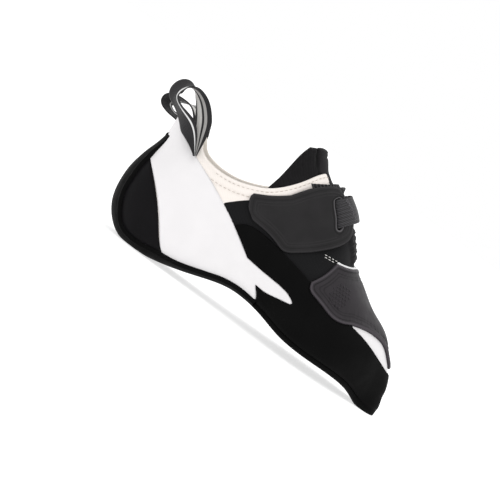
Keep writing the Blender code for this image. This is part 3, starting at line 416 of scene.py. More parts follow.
def sections(us):
    """Half-section polylines of the last at each u: the outer side from ridge to low point, then the inner."""
    rows = cubic(np.arange(len(LAST)), LAST, us)
    read = {name: rows[:, i] for i, name in enumerate(COLUMNS)}
    half = (HEEL_WIDTH + (BALL_WIDTH - HEEL_WIDTH) * np.clip(read["ball"], 0, 1)) / 2
    low = np.stack([profile_x(read["low_x"]), profile_z(read["low_x"], read["low_z"])], 1)
    top = np.stack([profile_x(read["top_x"]), profile_z(read["top_x"], read["top_z"])], 1)
    turn = np.linspace(0, math.pi / 2, HALF_SAMPLES)
    sides = []
    for side in ("outer", "inner"):
        at = np.clip(read[side + "_at"], 0.1, 0.9)[:, None]
        crown = 2 / read[side + "_power"][:, None]
        foot = 2 / read["low_power"][:, None]
        wide = (read[side] / 100 * half)[:, None]
        y_top = (read["top_y"] / 100 * half)[:, None]
        y_low = (read["low_y"] / 100 * half)[:, None]
        upper_y = y_top + (wide - y_top) * np.sin(turn) ** crown
        upper_s = at + (1 - at) * np.cos(turn) ** crown
        lower_y = y_low + (wide - y_low) * np.cos(turn) ** foot
        lower_s = at * (1 - np.sin(turn) ** foot)
        y = np.concatenate([upper_y, lower_y[:, 1:]], 1)
        s = np.concatenate([upper_s, lower_s[:, 1:]], 1)
        xz = low[:, None, :] + s[:, :, None] * (top - low)[:, None, :]
        sides.append(np.stack([xz[:, :, 0], y, xz[:, :, 1]], 2))
    return sides


def arc_places(us, shares):
    """The arc from the ridge at shares of each half-section: 1 is the low point by the outer side, -1 by the inner.
    Shares are one list for all rows, or one for each."""
    outer, inner = sections(us)
    corner = HALF_SAMPLES - 1 + HALF_SAMPLES // 2
    shares = np.broadcast_to(shares, (len(us), np.shape(shares)[-1]))
    arcs = np.zeros(shares.shape)
    for k, row in enumerate(shares):
        for side, sign in ((outer[k], 1), (inner[k], -1)):
            run = run_length(side)
            reach = np.interp(np.abs(row), (0, CORNER, 1), (0, run[corner], run[-1]))
            arcs[k] = np.where(row * sign > 0, sign * reach, arcs[k])
    return arcs


def skin_points(us, columns, by_share):
    """Points on the last, as (row, column, 3). Columns are shares, or arcs from the ridge in metres."""
    arcs = arc_places(us, columns) if by_share else np.broadcast_to(columns, (len(us), np.shape(columns)[-1]))
    points = []
    for outer, inner, lengths in zip(*sections(us), arcs):
        on_outer, on_inner = (along(side, np.abs(lengths)) for side in (outer, inner))
        points.append(np.where((lengths >= 0)[:, None], on_outer, on_inner))
    return np.array(points)


def lay(us, arcs=None, shares=None):
    """Points on the skin and their normals, which come from small steps along the rows and the columns."""
    by_share = shares is not None
    us, columns = np.asarray(us, float), np.asarray(shares if by_share else arcs, float)
    last_row = len(LAST) - 1
    before, after = np.clip(us - ROW_STEP, 0, last_row - 0.002), np.clip(us + ROW_STEP, 0, last_row - 0.001)
    step = SHARE_STEP if by_share else ARC_STEP
    lower, upper, near_row = columns - step, columns + step, us
    if by_share:
        lower, upper, near_row = np.clip(lower, -1, 1), np.clip(upper, -1, 1), np.clip(us, 0, last_row - 0.02)
    points = skin_points(us, columns, by_share)
    across = skin_points(near_row, upper, by_share) - skin_points(near_row, lower, by_share)
    lengthwise = skin_points(after, columns, by_share) - skin_points(before, columns, by_share)
    normals = unit(np.cross(across, lengthwise))
    if by_share and columns.ndim == 1:
        # The low line is shared by both sides, and the toe's end is one point, so each has one normal
        normals[:, 0] = normals[:, -1] = unit(normals[:, 0] + normals[:, -1])
        if us[-1] > last_row - 1e-6:
            normals[-1] = unit(normals[-1].mean(0))
    return points, normals


def place(us, arcs=None, shares=None, offsets=0.0):
    """Points at an offset from the skin."""
    points, normals = lay(us, arcs, shares)
    return points + normals * np.broadcast_to(np.asarray(offsets, float)[..., None], points.shape)


def trace(*runs):
    """A side-view outline in metres from runs in percent. Each run is a smooth curve, and runs meet at corners."""
    outline = []
    for run in runs:
        run = np.stack(side_view(*np.array(run, float).T), 1)
        chord = run_length(run)
        count = max(2, int(math.ceil(chord[-1] / OUTLINE_STEP))) if len(run) > 2 else 2
        at = np.linspace(0, chord[-1], count)
        curve = cubic(chord, run, at) if len(run) > 2 else run
        outline += [tuple(p) for p in curve[:-1]]
    outline.append(tuple(curve[-1]))
    return outline


def reverse(run):
    return tuple(reversed(run))


def turn_of(ring):
    """1 where a closed ring runs anticlockwise and -1 where it runs clockwise."""
    area = np.sum(ring[:, 0] * np.roll(ring[:, 1], -1) - np.roll(ring[:, 0], -1) * ring[:, 1])
    return 1 if area > 0 else -1


def inset(outline, distance):
    """The outline moved inwards by distance, keeping its corners."""
    points = np.array(outline[:-1] if math.dist(outline[0], outline[-1]) < 1e-6 else outline)
    ahead, behind = np.roll(points, -1, 0) - points, points - np.roll(points, 1, 0)
    turn = turn_of(points)
    normals = [unit(np.stack([-edge[:, 1], edge[:, 0]], 1) * turn) for edge in (ahead, behind)]
    mid = normals[0] + normals[1]
    mid /= np.maximum(np.sum(mid * normals[0], 1, keepdims=True), 0.35)
    return [tuple(p) for p in points + mid * distance]


def scaled(colour, factor):
    return tuple(c * factor for c in colour)


def srgb(*levels):
    """Linear colour from display levels of 0 to 255."""
    shares = [level / 255 for level in levels]
    return tuple(c / 12.92 if c <= 0.04045 else ((c + 0.055) / 1.055) ** 2.4 for c in shares)


class Sheet:
    """Triangles on the last: each point's place on the skin, normal and (arc, u), and each face's tag."""

    def __init__(self, points, normals, places, faces, tags=None):
        self.points, self.normals, self.places, self.faces = points, normals, places, faces
        self.tags = np.zeros(len(faces), int) if tags is None else tags

    def keep(self, wanted):
        """The sheet with only the wanted faces, and the old index of each point that stays."""
        used, index = np.unique(self.faces[wanted], return_inverse=True)
        faces = index.reshape(-1, 3)
        return Sheet(self.points[used], self.normals[used], self.places[used], faces, self.tags[wanted]), used

    def split(self, chosen, share):
        """The sheet with each edge a-b cut where chosen(a, b), at share(a, b), and with the faces beside it cut."""
        count = len(self.points)
        ahead = np.roll(self.faces, -1, 1)
        keys = np.minimum(self.faces, ahead) * count + np.maximum(self.faces, ahead)
        keys, index = np.unique(keys, return_inverse=True)
        a, b = keys // count, keys % count
        cut = chosen(a, b)
        a, b = a[cut], b[cut]
        t = np.broadcast_to(share(a, b), a.shape)[:, None]
        points, normals, places = ((v[a] * (1 - t) + v[b] * t) for v in (self.points, self.normals, self.places))
        normals /= np.linalg.norm(normals, axis=1, keepdims=True)
        numbers = np.full(len(keys), -1)
        numbers[cut] = count + np.arange(len(a))
        middles = numbers[index].reshape(-1, 3)
        cuts = (middles >= 0).sum(1)
        faces, tags = [self.faces[cuts == 0]], [self.tags[cuts == 0]]
        patterns = {1: ((0, 3, 2), (3, 1, 2)), 2: ((3, 1, 4), (0, 3, 4), (0, 4, 2)),
                    3: ((0, 3, 5), (3, 1, 4), (5, 4, 2), (3, 4, 5))}
        for number, pattern in patterns.items():
            rows = np.flatnonzero(cuts == number)
            mid = middles[rows]
            first = np.argmax(mid >= 0, 1) if number == 1 else (np.argmin(mid, 1) + 1) % 3
            turned = (first[:, None] + np.arange(3)) % 3
            corners = np.take_along_axis(self.faces[rows], turned, 1)
            both = np.concatenate([corners, np.take_along_axis(mid, turned, 1)], 1)
            for corner in pattern:
                faces.append(both[:, corner])
                tags.append(self.tags[rows])
        return Sheet(np.concatenate([self.points, points]), np.concatenate([self.normals, normals]),
                     np.concatenate([self.places, places]), np.concatenate(faces), np.concatenate(tags))

    def parted(self, region, bands=EDGE_BANDS):
        """The sheet cut along a region's border, and each point's distance in, which is 0 on the border. The edges
        beside the border are halved first, once for each band."""
        sheet = self
        for band in bands:
            inside, _ = region(sheet)
            near = np.abs(inside) < band
            sheet = sheet.split(lambda a, b: near[a] | near[b] | (inside[a] * inside[b] < 0), lambda a, b: 0.5)
        inside, _ = region(sheet)
        inside = np.where(inside == 0, 1e-9, inside)
        before = len(sheet.points)
        sheet = sheet.split(lambda a, b: inside[a] * inside[b] < 0,
                            lambda a, b: inside[a] / (inside[a] - inside[b]))
        return sheet, np.concatenate([inside, np.zeros(len(sheet.points) - before)])

    def cut(self, region, bands=EDGE_BANDS):
        """The part of the sheet inside a region, and each point's distance along the skin from its border."""
        inside, _ = region(self)
        sheet, inside = self.keep(inside[self.faces].max(1) > -BORDER_MARGIN)[0].parted(region, bands)
        sheet, used = sheet.keep(inside[sheet.faces].sum(1) > 0)
        _, distance = region(sheet)
        return sheet, np.where(inside[used] == 0, 0, np.maximum(distance, 1e-6))


def grid_faces(rows, columns, closed=False):
    """Two triangles for each cell of a grid of points. In a closed grid the last column meets the first."""
    i, j = np.meshgrid(np.arange(rows - 1), np.arange(columns if closed else columns - 1), indexing="ij")
    a, b = i * columns + j, i * columns + (j + 1) % columns
    c, d = b + columns, a + columns
    return np.concatenate([np.stack([a, b, c], 2).reshape(-1, 3), np.stack([a, c, d], 2).reshape(-1, 3)])


def grid_sheet(points, normals, arcs, us, closed=False):
    """A sheet of a grid of points, whose rows are at us."""
    places = np.stack(np.broadcast_arrays(np.atleast_2d(arcs), np.asarray(us)[:, None]), 2)
    return Sheet(points.reshape(-1, 3), normals.reshape(-1, 3), places.reshape(-1, 2),
                 grid_faces(*points.shape[:2], closed))


def base_sheet():
    """The whole last as one fine sheet."""
    ball_row, last_row = 8, len(LAST) - 1
    us = np.concatenate([np.arange(0, ball_row, SHEET_HEEL_STEP),
                         np.arange(ball_row, last_row + 1e-6, SHEET_FRONT_STEP)])
    us[-1] = last_row
    shares = np.linspace(-1, 1, SHEET_COLUMNS)
    points, normals = lay(us, shares=shares)
    return grid_sheet(points[:, :-1], normals[:, :-1], arc_places(us, shares)[:, :-1], us, closed=True)


def arc_sheet(us, arcs):
    """A fine sheet of the last over rows us and arcs from the ridge."""
    return grid_sheet(*lay(us, arcs=arcs), arcs, us)


def ring_distance(at, ring):
    """The distance of plane points into a closed ring, negative outside, and the unit vectors away from it."""
    nearest, away = np.full(len(at), np.inf), np.zeros_like(at)
    crossings = np.zeros(len(at), int)
    for a, b in zip(ring, np.roll(ring, -1, 0)):
        edge = b - a
        t = np.clip((at - a) @ edge / max(edge @ edge, 1e-18), 0, 1)
        gap = at - a - t[:, None] * edge
        length = np.linalg.norm(gap, axis=1)
        closer = length < nearest
        nearest = np.where(closer, length, nearest)
        away = np.where(closer[:, None], gap, away)
        spans = (a[1] > at[:, 1]) != (b[1] > at[:, 1])
        rise = edge[1] if abs(edge[1]) > 1e-12 else 1e-12
        crossings += spans & (at[:, 0] < a[0] + (at[:, 1] - a[1]) * edge[0] / rise)
    return np.where(crossings % 2 == 1, nearest, -nearest), away / np.maximum(nearest, 1e-9)[:, None]


def within(outline, offset=0.0):
    """A region inside a side-view outline, read at an offset from the skin. Regions give, for each point, the
    signed distance in the side view and the distance along the skin."""
    ring = np.array(outline, float)
    if np.linalg.norm(ring[0] - ring[-1]) < 1e-6:
        ring = ring[:-1]

    def region(sheet):
        signed, away = ring_distance((sheet.points + sheet.normals * offset)[:, [0, 2]], ring)
        lean = away[:, 0] * sheet.normals[:, 0] + away[:, 1] * sheet.normals[:, 2]
        return signed, signed / np.sqrt(np.clip(1 - lean**2, 0.09, 1))
    return region


def area(read):
    """The region where read(sheet), a distance in metres, is above 0."""
    def region(sheet):
        inside = read(sheet)
        return inside, inside
    return region


def outside(region):
    def turned(sheet):
        signed, distance = region(sheet)
        return -signed, -distance
    return turned


def both(*regions):
    """The region common to several."""
    def common(sheet):
        found = [region(sheet) for region in regions]
        signed = np.stack([f[0] for f in found])
        least = np.argmin(signed, 0)[None]
        distance = np.stack([f[1] for f in found])
        return np.take_along_axis(signed, least, 0)[0], np.take_along_axis(distance, least, 0)[0]
    return common


def new_mesh(name, points, faces, materials, marks=None, tags=None, node=None, slot=None):
    """A smooth piece that rides on the shoe's body. marks are three values a point for its material."""
    mesh = bpy.data.meshes.new(name)
    mesh.from_pydata(np.asarray(points, float).tolist(), [], [tuple(f) for f in np.asarray(faces).tolist()])
    for material in materials:
        mesh.materials.append(material)
    if marks is not None:
        mesh.attributes.new("place", "FLOAT_VECTOR", "POINT").data.foreach_set(
            "vector", np.asarray(marks, np.float32).ravel())
    if tags is not None:
        mesh.polygons.foreach_set("material_index", np.asarray(tags, np.int32))
    mesh.shade_smooth()
    obj = bpy.data.objects.new(name, mesh)
    bpy.context.scene.collection.objects.link(obj)
    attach(obj, "root")
    if node:
        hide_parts(node)
    return obj


def marks_of(sheet, distance):
    lengthwise = sheet.places[:, 1] * ROW_SPACING
    return np.stack([sheet.places[:, 0], lengthwise, distance], 1)


def panel(sheet, outline, thickness):
    """The part of the last under a panel, whose outline is read on its outer face."""
    return sheet.cut(within(inset(outline, EDGE_GAP), GAP + thickness))


def overlay(name, sheet, distance, height, edge, finish, relief=0.0, floor=False, **kinds):
    """One panel on the upper: it rises from the skin at its border to its height, with a rounded edge."""
    offset = -PANEL_SINK + (height + PANEL_SINK) * rounded(distance, EDGES[edge]) + relief
    points = sheet.points + sheet.normals * np.broadcast_to(offset, distance.shape)[:, None]
    if floor:
        points[:, 2] = np.maximum(points[:, 2], 0)
    return new_mesh(name, points, sheet.faces, [FINISHES[finish]], marks_of(sheet, distance), **kinds)


def slab(name, sheet, distance, low, high, edge, finishes, relief=0.0, under=0.0, mark=None, **kinds):
    """A piece with two faces that meet in a round edge at its border. The last of its finishes is underneath."""
    middle = (np.asarray(low) + np.asarray(high)) / 2
    rise = rounded(distance, EDGES[edge])
    upper = np.broadcast_to(middle + (high - middle) * rise + relief, distance.shape)
    lower = np.broadcast_to(middle - (middle - low) * rise + under, distance.shape)
    count = len(distance)
    inner = np.flatnonzero(distance > 0)
    numbers = np.arange(count)
    numbers[inner] = count + np.arange(len(inner))
    points = np.concatenate([sheet.points + sheet.normals * upper[:, None],
                             (sheet.points + sheet.normals * lower[:, None])[inner]])
    marks = marks_of(sheet, distance if mark is None else mark)
    faces = np.concatenate([sheet.faces, numbers[sheet.faces][:, ::-1]])
    tags = np.concatenate([sheet.tags, np.full(len(sheet.faces), len(finishes) - 1)])
    return new_mesh(name, points, faces, [FINISHES[finish] for finish in finishes],
                    np.concatenate([marks, marks[inner]]), tags, **kinds)


class Finish:
    """A Principled material and the nodes that feed it. Heights are in metres."""

    def __init__(self, name, colour, roughness, specular=0.3):
        self.material = bpy.data.materials.new(name)
        self.material.use_nodes = True
        self.tree = self.material.node_tree
        self.shader = self.tree.nodes["Principled BSDF"]
        self.put("Base Color", (*colour, 1))
        self.put("Roughness", roughness)
        self.put("Specular IOR Level", specular)
        self.height = None
        self.object_place = self.add("ShaderNodeTexCoord").outputs["Object"]

    def put(self, name, value):
        socket = self.shader.inputs[name]
        if isinstance(value, bpy.types.NodeSocket):
            self.tree.links.new(value, socket)
        else:
            socket.default_value = value

    def add(self, kind, settings=None, **inputs):
        node = self.tree.nodes.new(kind)
        for key, value in (settings or {}).items():
            setattr(node, key, value)
        for key, value in inputs.items():
            socket = node.inputs[int(key[1:])] if key[0] == "_" else node.inputs[key.replace("_", " ")]
            if isinstance(value, bpy.types.NodeSocket):
                self.tree.links.new(value, socket)
            else:
                socket.default_value = value
        return node

    def math(self, operation, a, b=0.0, c=0.0):
        return self.add("ShaderNodeMath", {"operation": operation}, _0=a, _1=b, _2=c).outputs[0]

    def marks(self):
        """The mesh's own three values: arc or across, lengthwise, and distance from the edge or face."""
        read = self.add("ShaderNodeAttribute", {"attribute_name": "place"}).outputs["Vector"]
        return self.add("ShaderNodeSeparateXYZ", Vector=read).outputs

    def times(self, a, b):
        return self.math("MULTIPLY", a, b)

    def noise(self, size, detail=2.0, roughness=0.5):
        return self.add("ShaderNodeTexNoise", Vector=self.object_place, Scale=1 / size, Detail=detail,
                        Roughness=roughness).outputs["Fac"]

    def cells(self, size):
        return self.add("ShaderNodeTexVoronoi", {"feature": "SMOOTH_F1"}, Vector=self.object_place,
                        Scale=1 / size).outputs["Distance"]

    def span(self, value, from_low, from_high, low, high):
        return self.add("ShaderNodeMapRange", {"interpolation_type": "SMOOTHSTEP"}, Value=value, _1=from_low,
                        _2=from_high, _3=low, _4=high).outputs[0]

    def mix(self, share, first, second):
        first, second = (v if isinstance(v, bpy.types.NodeSocket) else (*v[:3], 1) for v in (first, second))
        return self.add("ShaderNodeMix", {"data_type": "RGBA"}, _0=share, _6=first, _7=second).outputs[2]

    def line(self, value, low, high, blur):
        """1 where a value is from low to high, and 0 elsewhere."""
        enters, leaves = (self.span(value, at - blur, at + blur, 0, 1) for at in (low, high))
        return self.math("SUBTRACT", enters, leaves)

    def raise_by(self, relief, metres):
        height = self.times(relief, metres)
        self.height = height if self.height is None else self.math("ADD", self.height, height)

    def wave(self, value, length, phase=0.0):
        """A sine of 0 to 1 of a length in metres."""
        turn = self.math("MULTIPLY_ADD", value, math.tau / length, phase)
        return self.math("MULTIPLY_ADD", self.math("SINE", turn), 0.5, 0.5)

    def done(self):
        if self.height is not None:
            self.put("Normal", self.add("ShaderNodeBump", Strength=1.0, Distance=1.0, Height=self.height)
                     .outputs["Normal"])
        return self.material


def rubber(name, colour, roughness, specular, grain=0.000012, bands=()):
    """Moulded or sheet rubber: a fine grain, soft smudges, faint clouding, and a slightly rubbed edge. bands are
    (from, to, factor): painted highlight and painted shade, as lines of lighter or darker rubber in from the border."""
    f = Finish(name, colour, roughness, specular)
    _, _, edge = f.marks()
    clouds = f.span(f.noise(0.018, 3, 0.55), 0.35, 0.7, 0, 1)
    base = f.mix(clouds, scaled(colour, 0.9), scaled(colour, 1.22))
    rubbed = f.times(f.span(edge, 0.0, 0.0011, 1, 0), f.span(f.noise(0.0022, 3), 0.35, 0.62, 0.25, 1))
    base = f.mix(rubbed, base, tuple(c * 1.35 + 0.0015 for c in colour))
    # Each band paints light or shade: lighter on raised rims and lines, darker in the dips and grooves beside them
    for low, high, factor in bands:
        base = f.mix(f.line(edge, low, high, 0.00025), base, scaled(colour, factor))
    f.put("Base Color", base)
    f.put("Roughness", f.span(f.noise(0.009, 4, 0.6), 0.3, 0.75, roughness - 0.06, roughness + 0.1))
    f.raise_by(f.noise(0.0006, 3, 0.6), grain)
    f.raise_by(f.noise(0.0045, 2), grain * 2.2)
    return f.done()


def coated(name, colour):
    """Smooth coated microfibre: a very low leather grain, faint shading, painted shade along its edges and a soft
    gloss.
    """
    f = Finish(name, colour, 0.5, 0.35)
    _, _, edge = f.marks()
    base = f.mix(f.span(f.noise(0.02, 3, 0.5), 0.35, 0.7, 0, 1), scaled(colour, 0.975), colour)
    # Painted shade: the colour darkens towards the panel's border
    f.put("Base Color", f.mix(f.span(edge, 0.0, 0.0009, 0.5, 0), base, scaled(colour, 0.82)))
    f.put("Roughness", f.span(f.noise(0.006, 4), 0.3, 0.7, 0.42, 0.58))
    f.raise_by(f.cells(0.0009), 0.000022)
    f.raise_by(f.noise(0.00035, 2), 0.000006)
    return f.done()


def woven(name, colour, thread=0.0008, depth=0.00005, sheen=0.25, contrast=0.25, parting=None):
    """Fine woven or knitted cloth, its threads laid along the shoe and round it, with a nap. parting is (arc,
    width): painted shade as a dark line on each side where the tongue's two layers part, and a painted highlight on
    the rise beside it."""
    f = Finish(name, colour, 0.85, 0.2)
    arc, along_shoe, _ = f.marks()
    tight, loose = (f.times(f.wave(arc, size), f.wave(along_shoe, size)) for size in (thread, thread * 2))
    over = f.math("MULTIPLY_ADD", tight, 0.6, f.times(loose, 0.4))
    low, high = scaled(colour, 1 - contrast), tuple(min(1, c) for c in scaled(colour, 1 + contrast * 0.4))
    base = f.mix(f.span(over, 0.05, 0.6, 0, 1), low, high)
    base = f.mix(f.span(f.noise(0.013, 3, 0.5), 0.35, 0.7, 0.0, 0.35), base, low)
    if parting:
        at, width = parting
        away = f.math("ABSOLUTE", arc)
        beside = f.math("ABSOLUTE", f.math("SUBTRACT", away, at))
        # Painted shade in the parting's groove, then a painted highlight on the rise beside it
        base = f.mix(f.span(beside, 0.0, width, 0.9, 0), base, scaled(colour, 0.1))
        base = f.mix(f.span(away, at - width, at, 0.6, 0), base, scaled(colour, 2.2))
    f.put("Base Color", base)
    f.put("Sheen Weight", sheen)
    f.put("Sheen Roughness", 0.45)
    f.raise_by(over, depth)
    f.raise_by(f.noise(0.0005, 3, 0.7), depth * 0.6)
    return f.done()


def ribbed(name, colour, pitch):
    """Elastic tape: its ribs are in the mesh, and the cross threads, and painted shade in the grooves between ribs
    with lighter rib tops, are here.
    """
    f = Finish(name, colour, 0.8, 0.2)
    arc, along_shoe, _ = f.marks()
    threads = f.wave(along_shoe, 0.0007)
    # Painted shade between the ribs and painted highlight on their tops, at the ribs' pitch
    base = f.mix(f.span(f.wave(arc, pitch), 0.0, 0.75, 0, 1), scaled(colour, 0.4), scaled(colour, 1.35))
    f.put("Base Color", f.mix(f.times(threads, 0.3), base, scaled(colour, 0.5)))
    f.put("Sheen Weight", 0.2)
    f.raise_by(threads, 0.00006)
    f.raise_by(f.noise(0.0004, 3), 0.00004)
    return f.done()


def tape(name, colour, stripes=(), thread=0.0009, inner_stripes=(), contrast=0.4):
    """Webbing: a twill of ribs, and woven stripes of (from, to, colour) across its width, face by face."""
    f = Finish(name, colour, 0.78, 0.25)
    across, lengthwise, face = f.marks()
    rib = f.wave(f.math("MULTIPLY_ADD", across, 0.8, lengthwise), thread)
    picks = f.wave(across, thread * 1.3)
    base = f.mix(f.math("MULTIPLY_ADD", rib, 0.6, f.times(picks, 0.4)), scaled(colour, 1 - contrast),
                 scaled(colour, 1 + contrast * 1.5))
    for sign, group in ((1, stripes), (-1, inner_stripes)):
        shown = f.span(f.times(face, sign), -0.2, 0.2, 0, 1)
        for low, high, tone in group:
            share = f.times(f.line(across, low, high, 0.00018), shown)
            base = f.mix(share, base, f.mix(rib, scaled(tone, 0.78), tone))
    f.put("Base Color", base)
    f.put("Sheen Weight", 0.15)
    f.raise_by(f.times(rib, picks), 0.00012)
    f.raise_by(f.noise(0.0005, 3), 0.00003)
    return f.done()


def thread_finish(name, colour):
    f = Finish(name, colour, 0.6, 0.3)
    twist = f.noise(0.0004, 2)
    f.put("Base Color", f.mix(twist, scaled(colour, 0.8), colour))
    f.raise_by(twist, 0.00003)
    return f.done()


@area
def throat(sheet):
    """The slot down the instep, in which the tongue stands."""
    arc, u = np.abs(sheet.places[:, 0]), sheet.places[:, 1]
    closing = np.sqrt(np.clip((THROAT_ROWS[1] - u) / THROAT_CLOSES_OVER, 0, 1))
    past = np.maximum(u - THROAT_ROWS[1], 0) * ROW_SPACING
    before = np.maximum(THROAT_ROWS[0] - u, 0) * ROW_SPACING
    return THROAT_WIDTH / 2 * closing - np.hypot(arc, past + before)


def make_upper(sheet):
    sky = trace(*TOPLINE) + [tuple(p) for p in trace(((54.0, FAR), (-4, FAR)))]
    below_sky = outside(within(sky, -WALL / 2))
    black, toe = (within(trace(*runs)) for runs in (BLACK_AREA, TOE_AREA))
    for tag, region in ((1, black), (2, toe)):
        sheet, inside = sheet.parted(region, COLOUR_BANDS)
        sheet.tags[inside[sheet.faces].sum(1) > 0] = tag
    shell, distance = sheet.cut(both(below_sky, outside(throat)))
    _, below = below_sky(shell)
    padding = COLLAR_PADDING * np.sin(math.pi * np.clip(below / COLLAR_DEPTH, 0, 1))
    border, _ = black(shell)
    lifted = TEXTILE * rounded(np.maximum(border, 0), TEXTILE_EDGE)
    slab("upper_lasted", shell, distance, -WALL, 0.0, "upper", ("cream", "textile", "white", "lining"),
         relief=padding + ridges(below, COLLAR_SEAMS) + lifted + folds(shell), under=-INNER_PADDING * padding,
         node="upper", slot="fabric_cream")


def folds(sheet):
    """Soft troughs and ridges where the upper is drawn by the strap and bends over the ankle."""
    total = np.zeros(len(sheet.points))
    for start, end, width, height, side in FOLDS:
        a, b = np.array(side_view(*start)), np.array(side_view(*end))
        at = sheet.points[:, [0, 2]]
        t = np.clip((at - a) @ (b - a) / ((b - a) @ (b - a)), 0, 1)
        away = np.linalg.norm(at - a - t[:, None] * (b - a), axis=1)
        fade = np.sin(math.pi * np.clip(t, 0.02, 0.98)) ** 0.6
        facing = (sheet.points[:, 1] * side > 0) if side else 1
        total += height * fade * np.exp(-((away / width) ** 2)) * facing
    return total


def make_heel_panel(sheet):
    outline = trace(reverse(BAND_EDGE_BACK), ((4.2, 64.5), (-12, 70)), ((-12, 70), (-12, 73.0)),
                    ((-12, 73.0), (1.5, 75.3), (5.5, 76.3)), PANEL_FRONT, FLAME_TOP, FLAME_UNDER, FLAME_LOW,
                    reverse(BAND_EDGE_ARCH), reverse(CUP_EDGE))
    skin, distance = panel(sheet, outline, 0.0)
    overlay("heel_panel_skin", skin, distance, GAP + PANEL, "panel", "white", relief=folds(skin),
            node="heel_panel", slot="panel_white")


def make_heel_band(sheet):
    edge = trace(BAND_EDGE_BACK, BAND_EDGE_CUP, BAND_EDGE_ARCH)
    outline = edge + trace(((53.0, 15.4), (60.0, 14.0)), ((60.0, 14.0), (60.0, -40)), ((60.0, -40), (-30, -40)),
                           ((-30, -40), (-30, 72)), ((-30, 72), (4.2, 64.5)))[1:]
    band, distance = panel(sheet, outline, SOLE)
    band, used = band.keep(band.points[band.faces][:, :, 0].mean(1) < profile_x(53.0))
    distance = distance[used]
    low, high = (side_view(4.0, z)[1] for z in BAND_THINS)
    thinned = 1 - BAND_TIP_SHARE * smooth(band.points[:, 2], low, high)
    overlay("heel_band_rubber", band, distance, (GAP + SOLE) * thinned, "band", "rand", floor=True,
            relief=ridges(distance, HEEL_LIP), node="heel_band", slot="rubber_black")


def make_heel_cup(name, node, sheet, side):
    half = sheet.keep((sheet.points[sheet.faces][:, :, 1] * side).mean(1) > 0)[0]
    cup, distance = panel(half, trace(BAND_EDGE_CUP, reverse(CUP_EDGE)), HEEL_CUP)
    overlay(name, cup, distance, GAP + HEEL_CUP, "cup", "cup", node=node, slot="rubber_black")


def make_rand(sheet):
    outline = trace(RAND_TOP_BACK, PATCH_UNDER, RAND_TOP_TOE, ((99.5, 22.3), (104.0, 22.3)),
                    ((104.0, 22.3), (104.0, 2.4)), ((104.0, 2.4), (103.0, 2.4)), reverse(SOLE_LINE),
                    reverse(FLAME_LOW), reverse(FLAME_UNDER), reverse(FLAME_TOP),
                    ((43.6, 34.2), (35.2, 44.6)))
    rand, distance = panel(sheet, outline, RAND)
    line = np.array(trace(SOLE_LINE))
    above = rand.points[:, 2] - np.interp(rand.points[:, 0], line[:, 0], line[:, 1])
    full = toe_proud(rand.points[:, 0]) * (1 - smooth(above, *TOE_PROUD_FADE))
    overlay("rand_rubber", rand, distance, GAP + RAND, "rand", "rand", relief=folds(rand) * RAND_FOLDS + full,
            node="forefoot_rand", slot="rubber_black")


def make_toe_patch(sheet):
    outline = trace(PATCH_REAR, PATCH_SIDE, PATCH_UNDER, PATCH_TOE, ((99.0, 22.5), (104.0, 24.0)),
                    ((104.0, 24.0), (104.0, 70.0)), ((104.0, 70.0), (76.0, 70.0)))
    patch, distance = panel(sheet, outline, TOE_PATCH)
    rim = PATCH_RIM * (1 - smooth(distance, *PATCH_RIM_FADE))
    overlay("toe_patch_rubber", patch, distance, GAP + TOE_PATCH, "patch", "patch",
            relief=rim + ridges(distance, PATCH_GROOVES), node="toe_patch", slot="rubber_grey")


def toe_proud(x):
    """How far the sole and the rand stand out beyond the last's offset at the tip of the toe."""
    return TOE_PROUD * smooth(x, *profile_x(TOE_PROUD_ENDS))


def outward(ring):
    """The directions out of a closed ring, in plan."""
    heading = np.roll(ring, -1, 0) - np.roll(ring, 1, 0)
    return unit(np.stack([heading[:, 1], -heading[:, 0]], 1)) * turn_of(ring)


def make_outsole(sheet):
    """The forefoot sole: a bottom face inside the plan outline and an upright edge up to the rand."""
    line = np.array(trace(SOLE_LINE))
    start = line[0, 0] - SOLE_TUCK
    low = sheet.keep(sheet.points[sheet.faces][:, :, 0].max(1) > start - 0.002)[0]

    def level(points):
        return np.interp(points[:, 0], line[:, 0], line[:, 1])

    @area
    def under_line(at):
        points = at.points + at.normals * (GAP + RAND)
        return np.minimum(level(points) - points[:, 2], points[:, 0] - start)

    foot, _ = low.cut(under_line, ())
    points = foot.points + foot.normals * (GAP + RAND)
    ring = points[longest_border(foot.faces)][::3, :2]
    in_plan = area(lambda at: ring_distance((at.points + at.normals * (GAP + SOLE))[:, :2], ring)[0])
    inner, distance = foot.cut(in_plan)
    bottom = inner.points + inner.normals * (GAP + SOLE)
    rim = np.flatnonzero(distance < SOLE_RIM)
    nearest = np.linalg.norm(bottom[rim, None, :2] - ring[None], axis=2).argmin(1)
    proud = (SOLE_PROUD + toe_proud(bottom[rim, 0])) * (1 - smooth(distance[rim], 0.0, SOLE_RIM))
    bottom[rim, :2] += outward(ring)[nearest] * proud[:, None]
    bottom[:, 2] = np.maximum(bottom[:, 2], 0) + SOLE_EDGE * (1 - rounded(distance, SOLE_EDGE))
    border = longest_border(inner.faces)
    rows, marks = [], [marks_of(inner, distance)]
    for share, inward in SOLE_WALL:
        row = bottom[border].copy()
        row[:, 2] += np.maximum(level(row) + SOLE_LAP - row[:, 2], SOLE_LEAST) * share
        row[:, :2] -= outward(row) * inward
        rows.append(row)
        marks.append(np.stack([row[:, 0], row[:, 2], np.full(len(row), 0.0004 + share * 0.001)], 1))
    numbers = np.concatenate([border, len(bottom) + np.arange(len(rows) * len(border))])
    wall = numbers[grid_faces(len(rows) + 1, len(border), closed=True)][:, ::-1]
    new_mesh("outsole_rubber", np.concatenate([bottom] + rows), np.concatenate([inner.faces, wall]),
             [FINISHES["sole"]], np.concatenate(marks), node="outsole", slot="rubber_black")


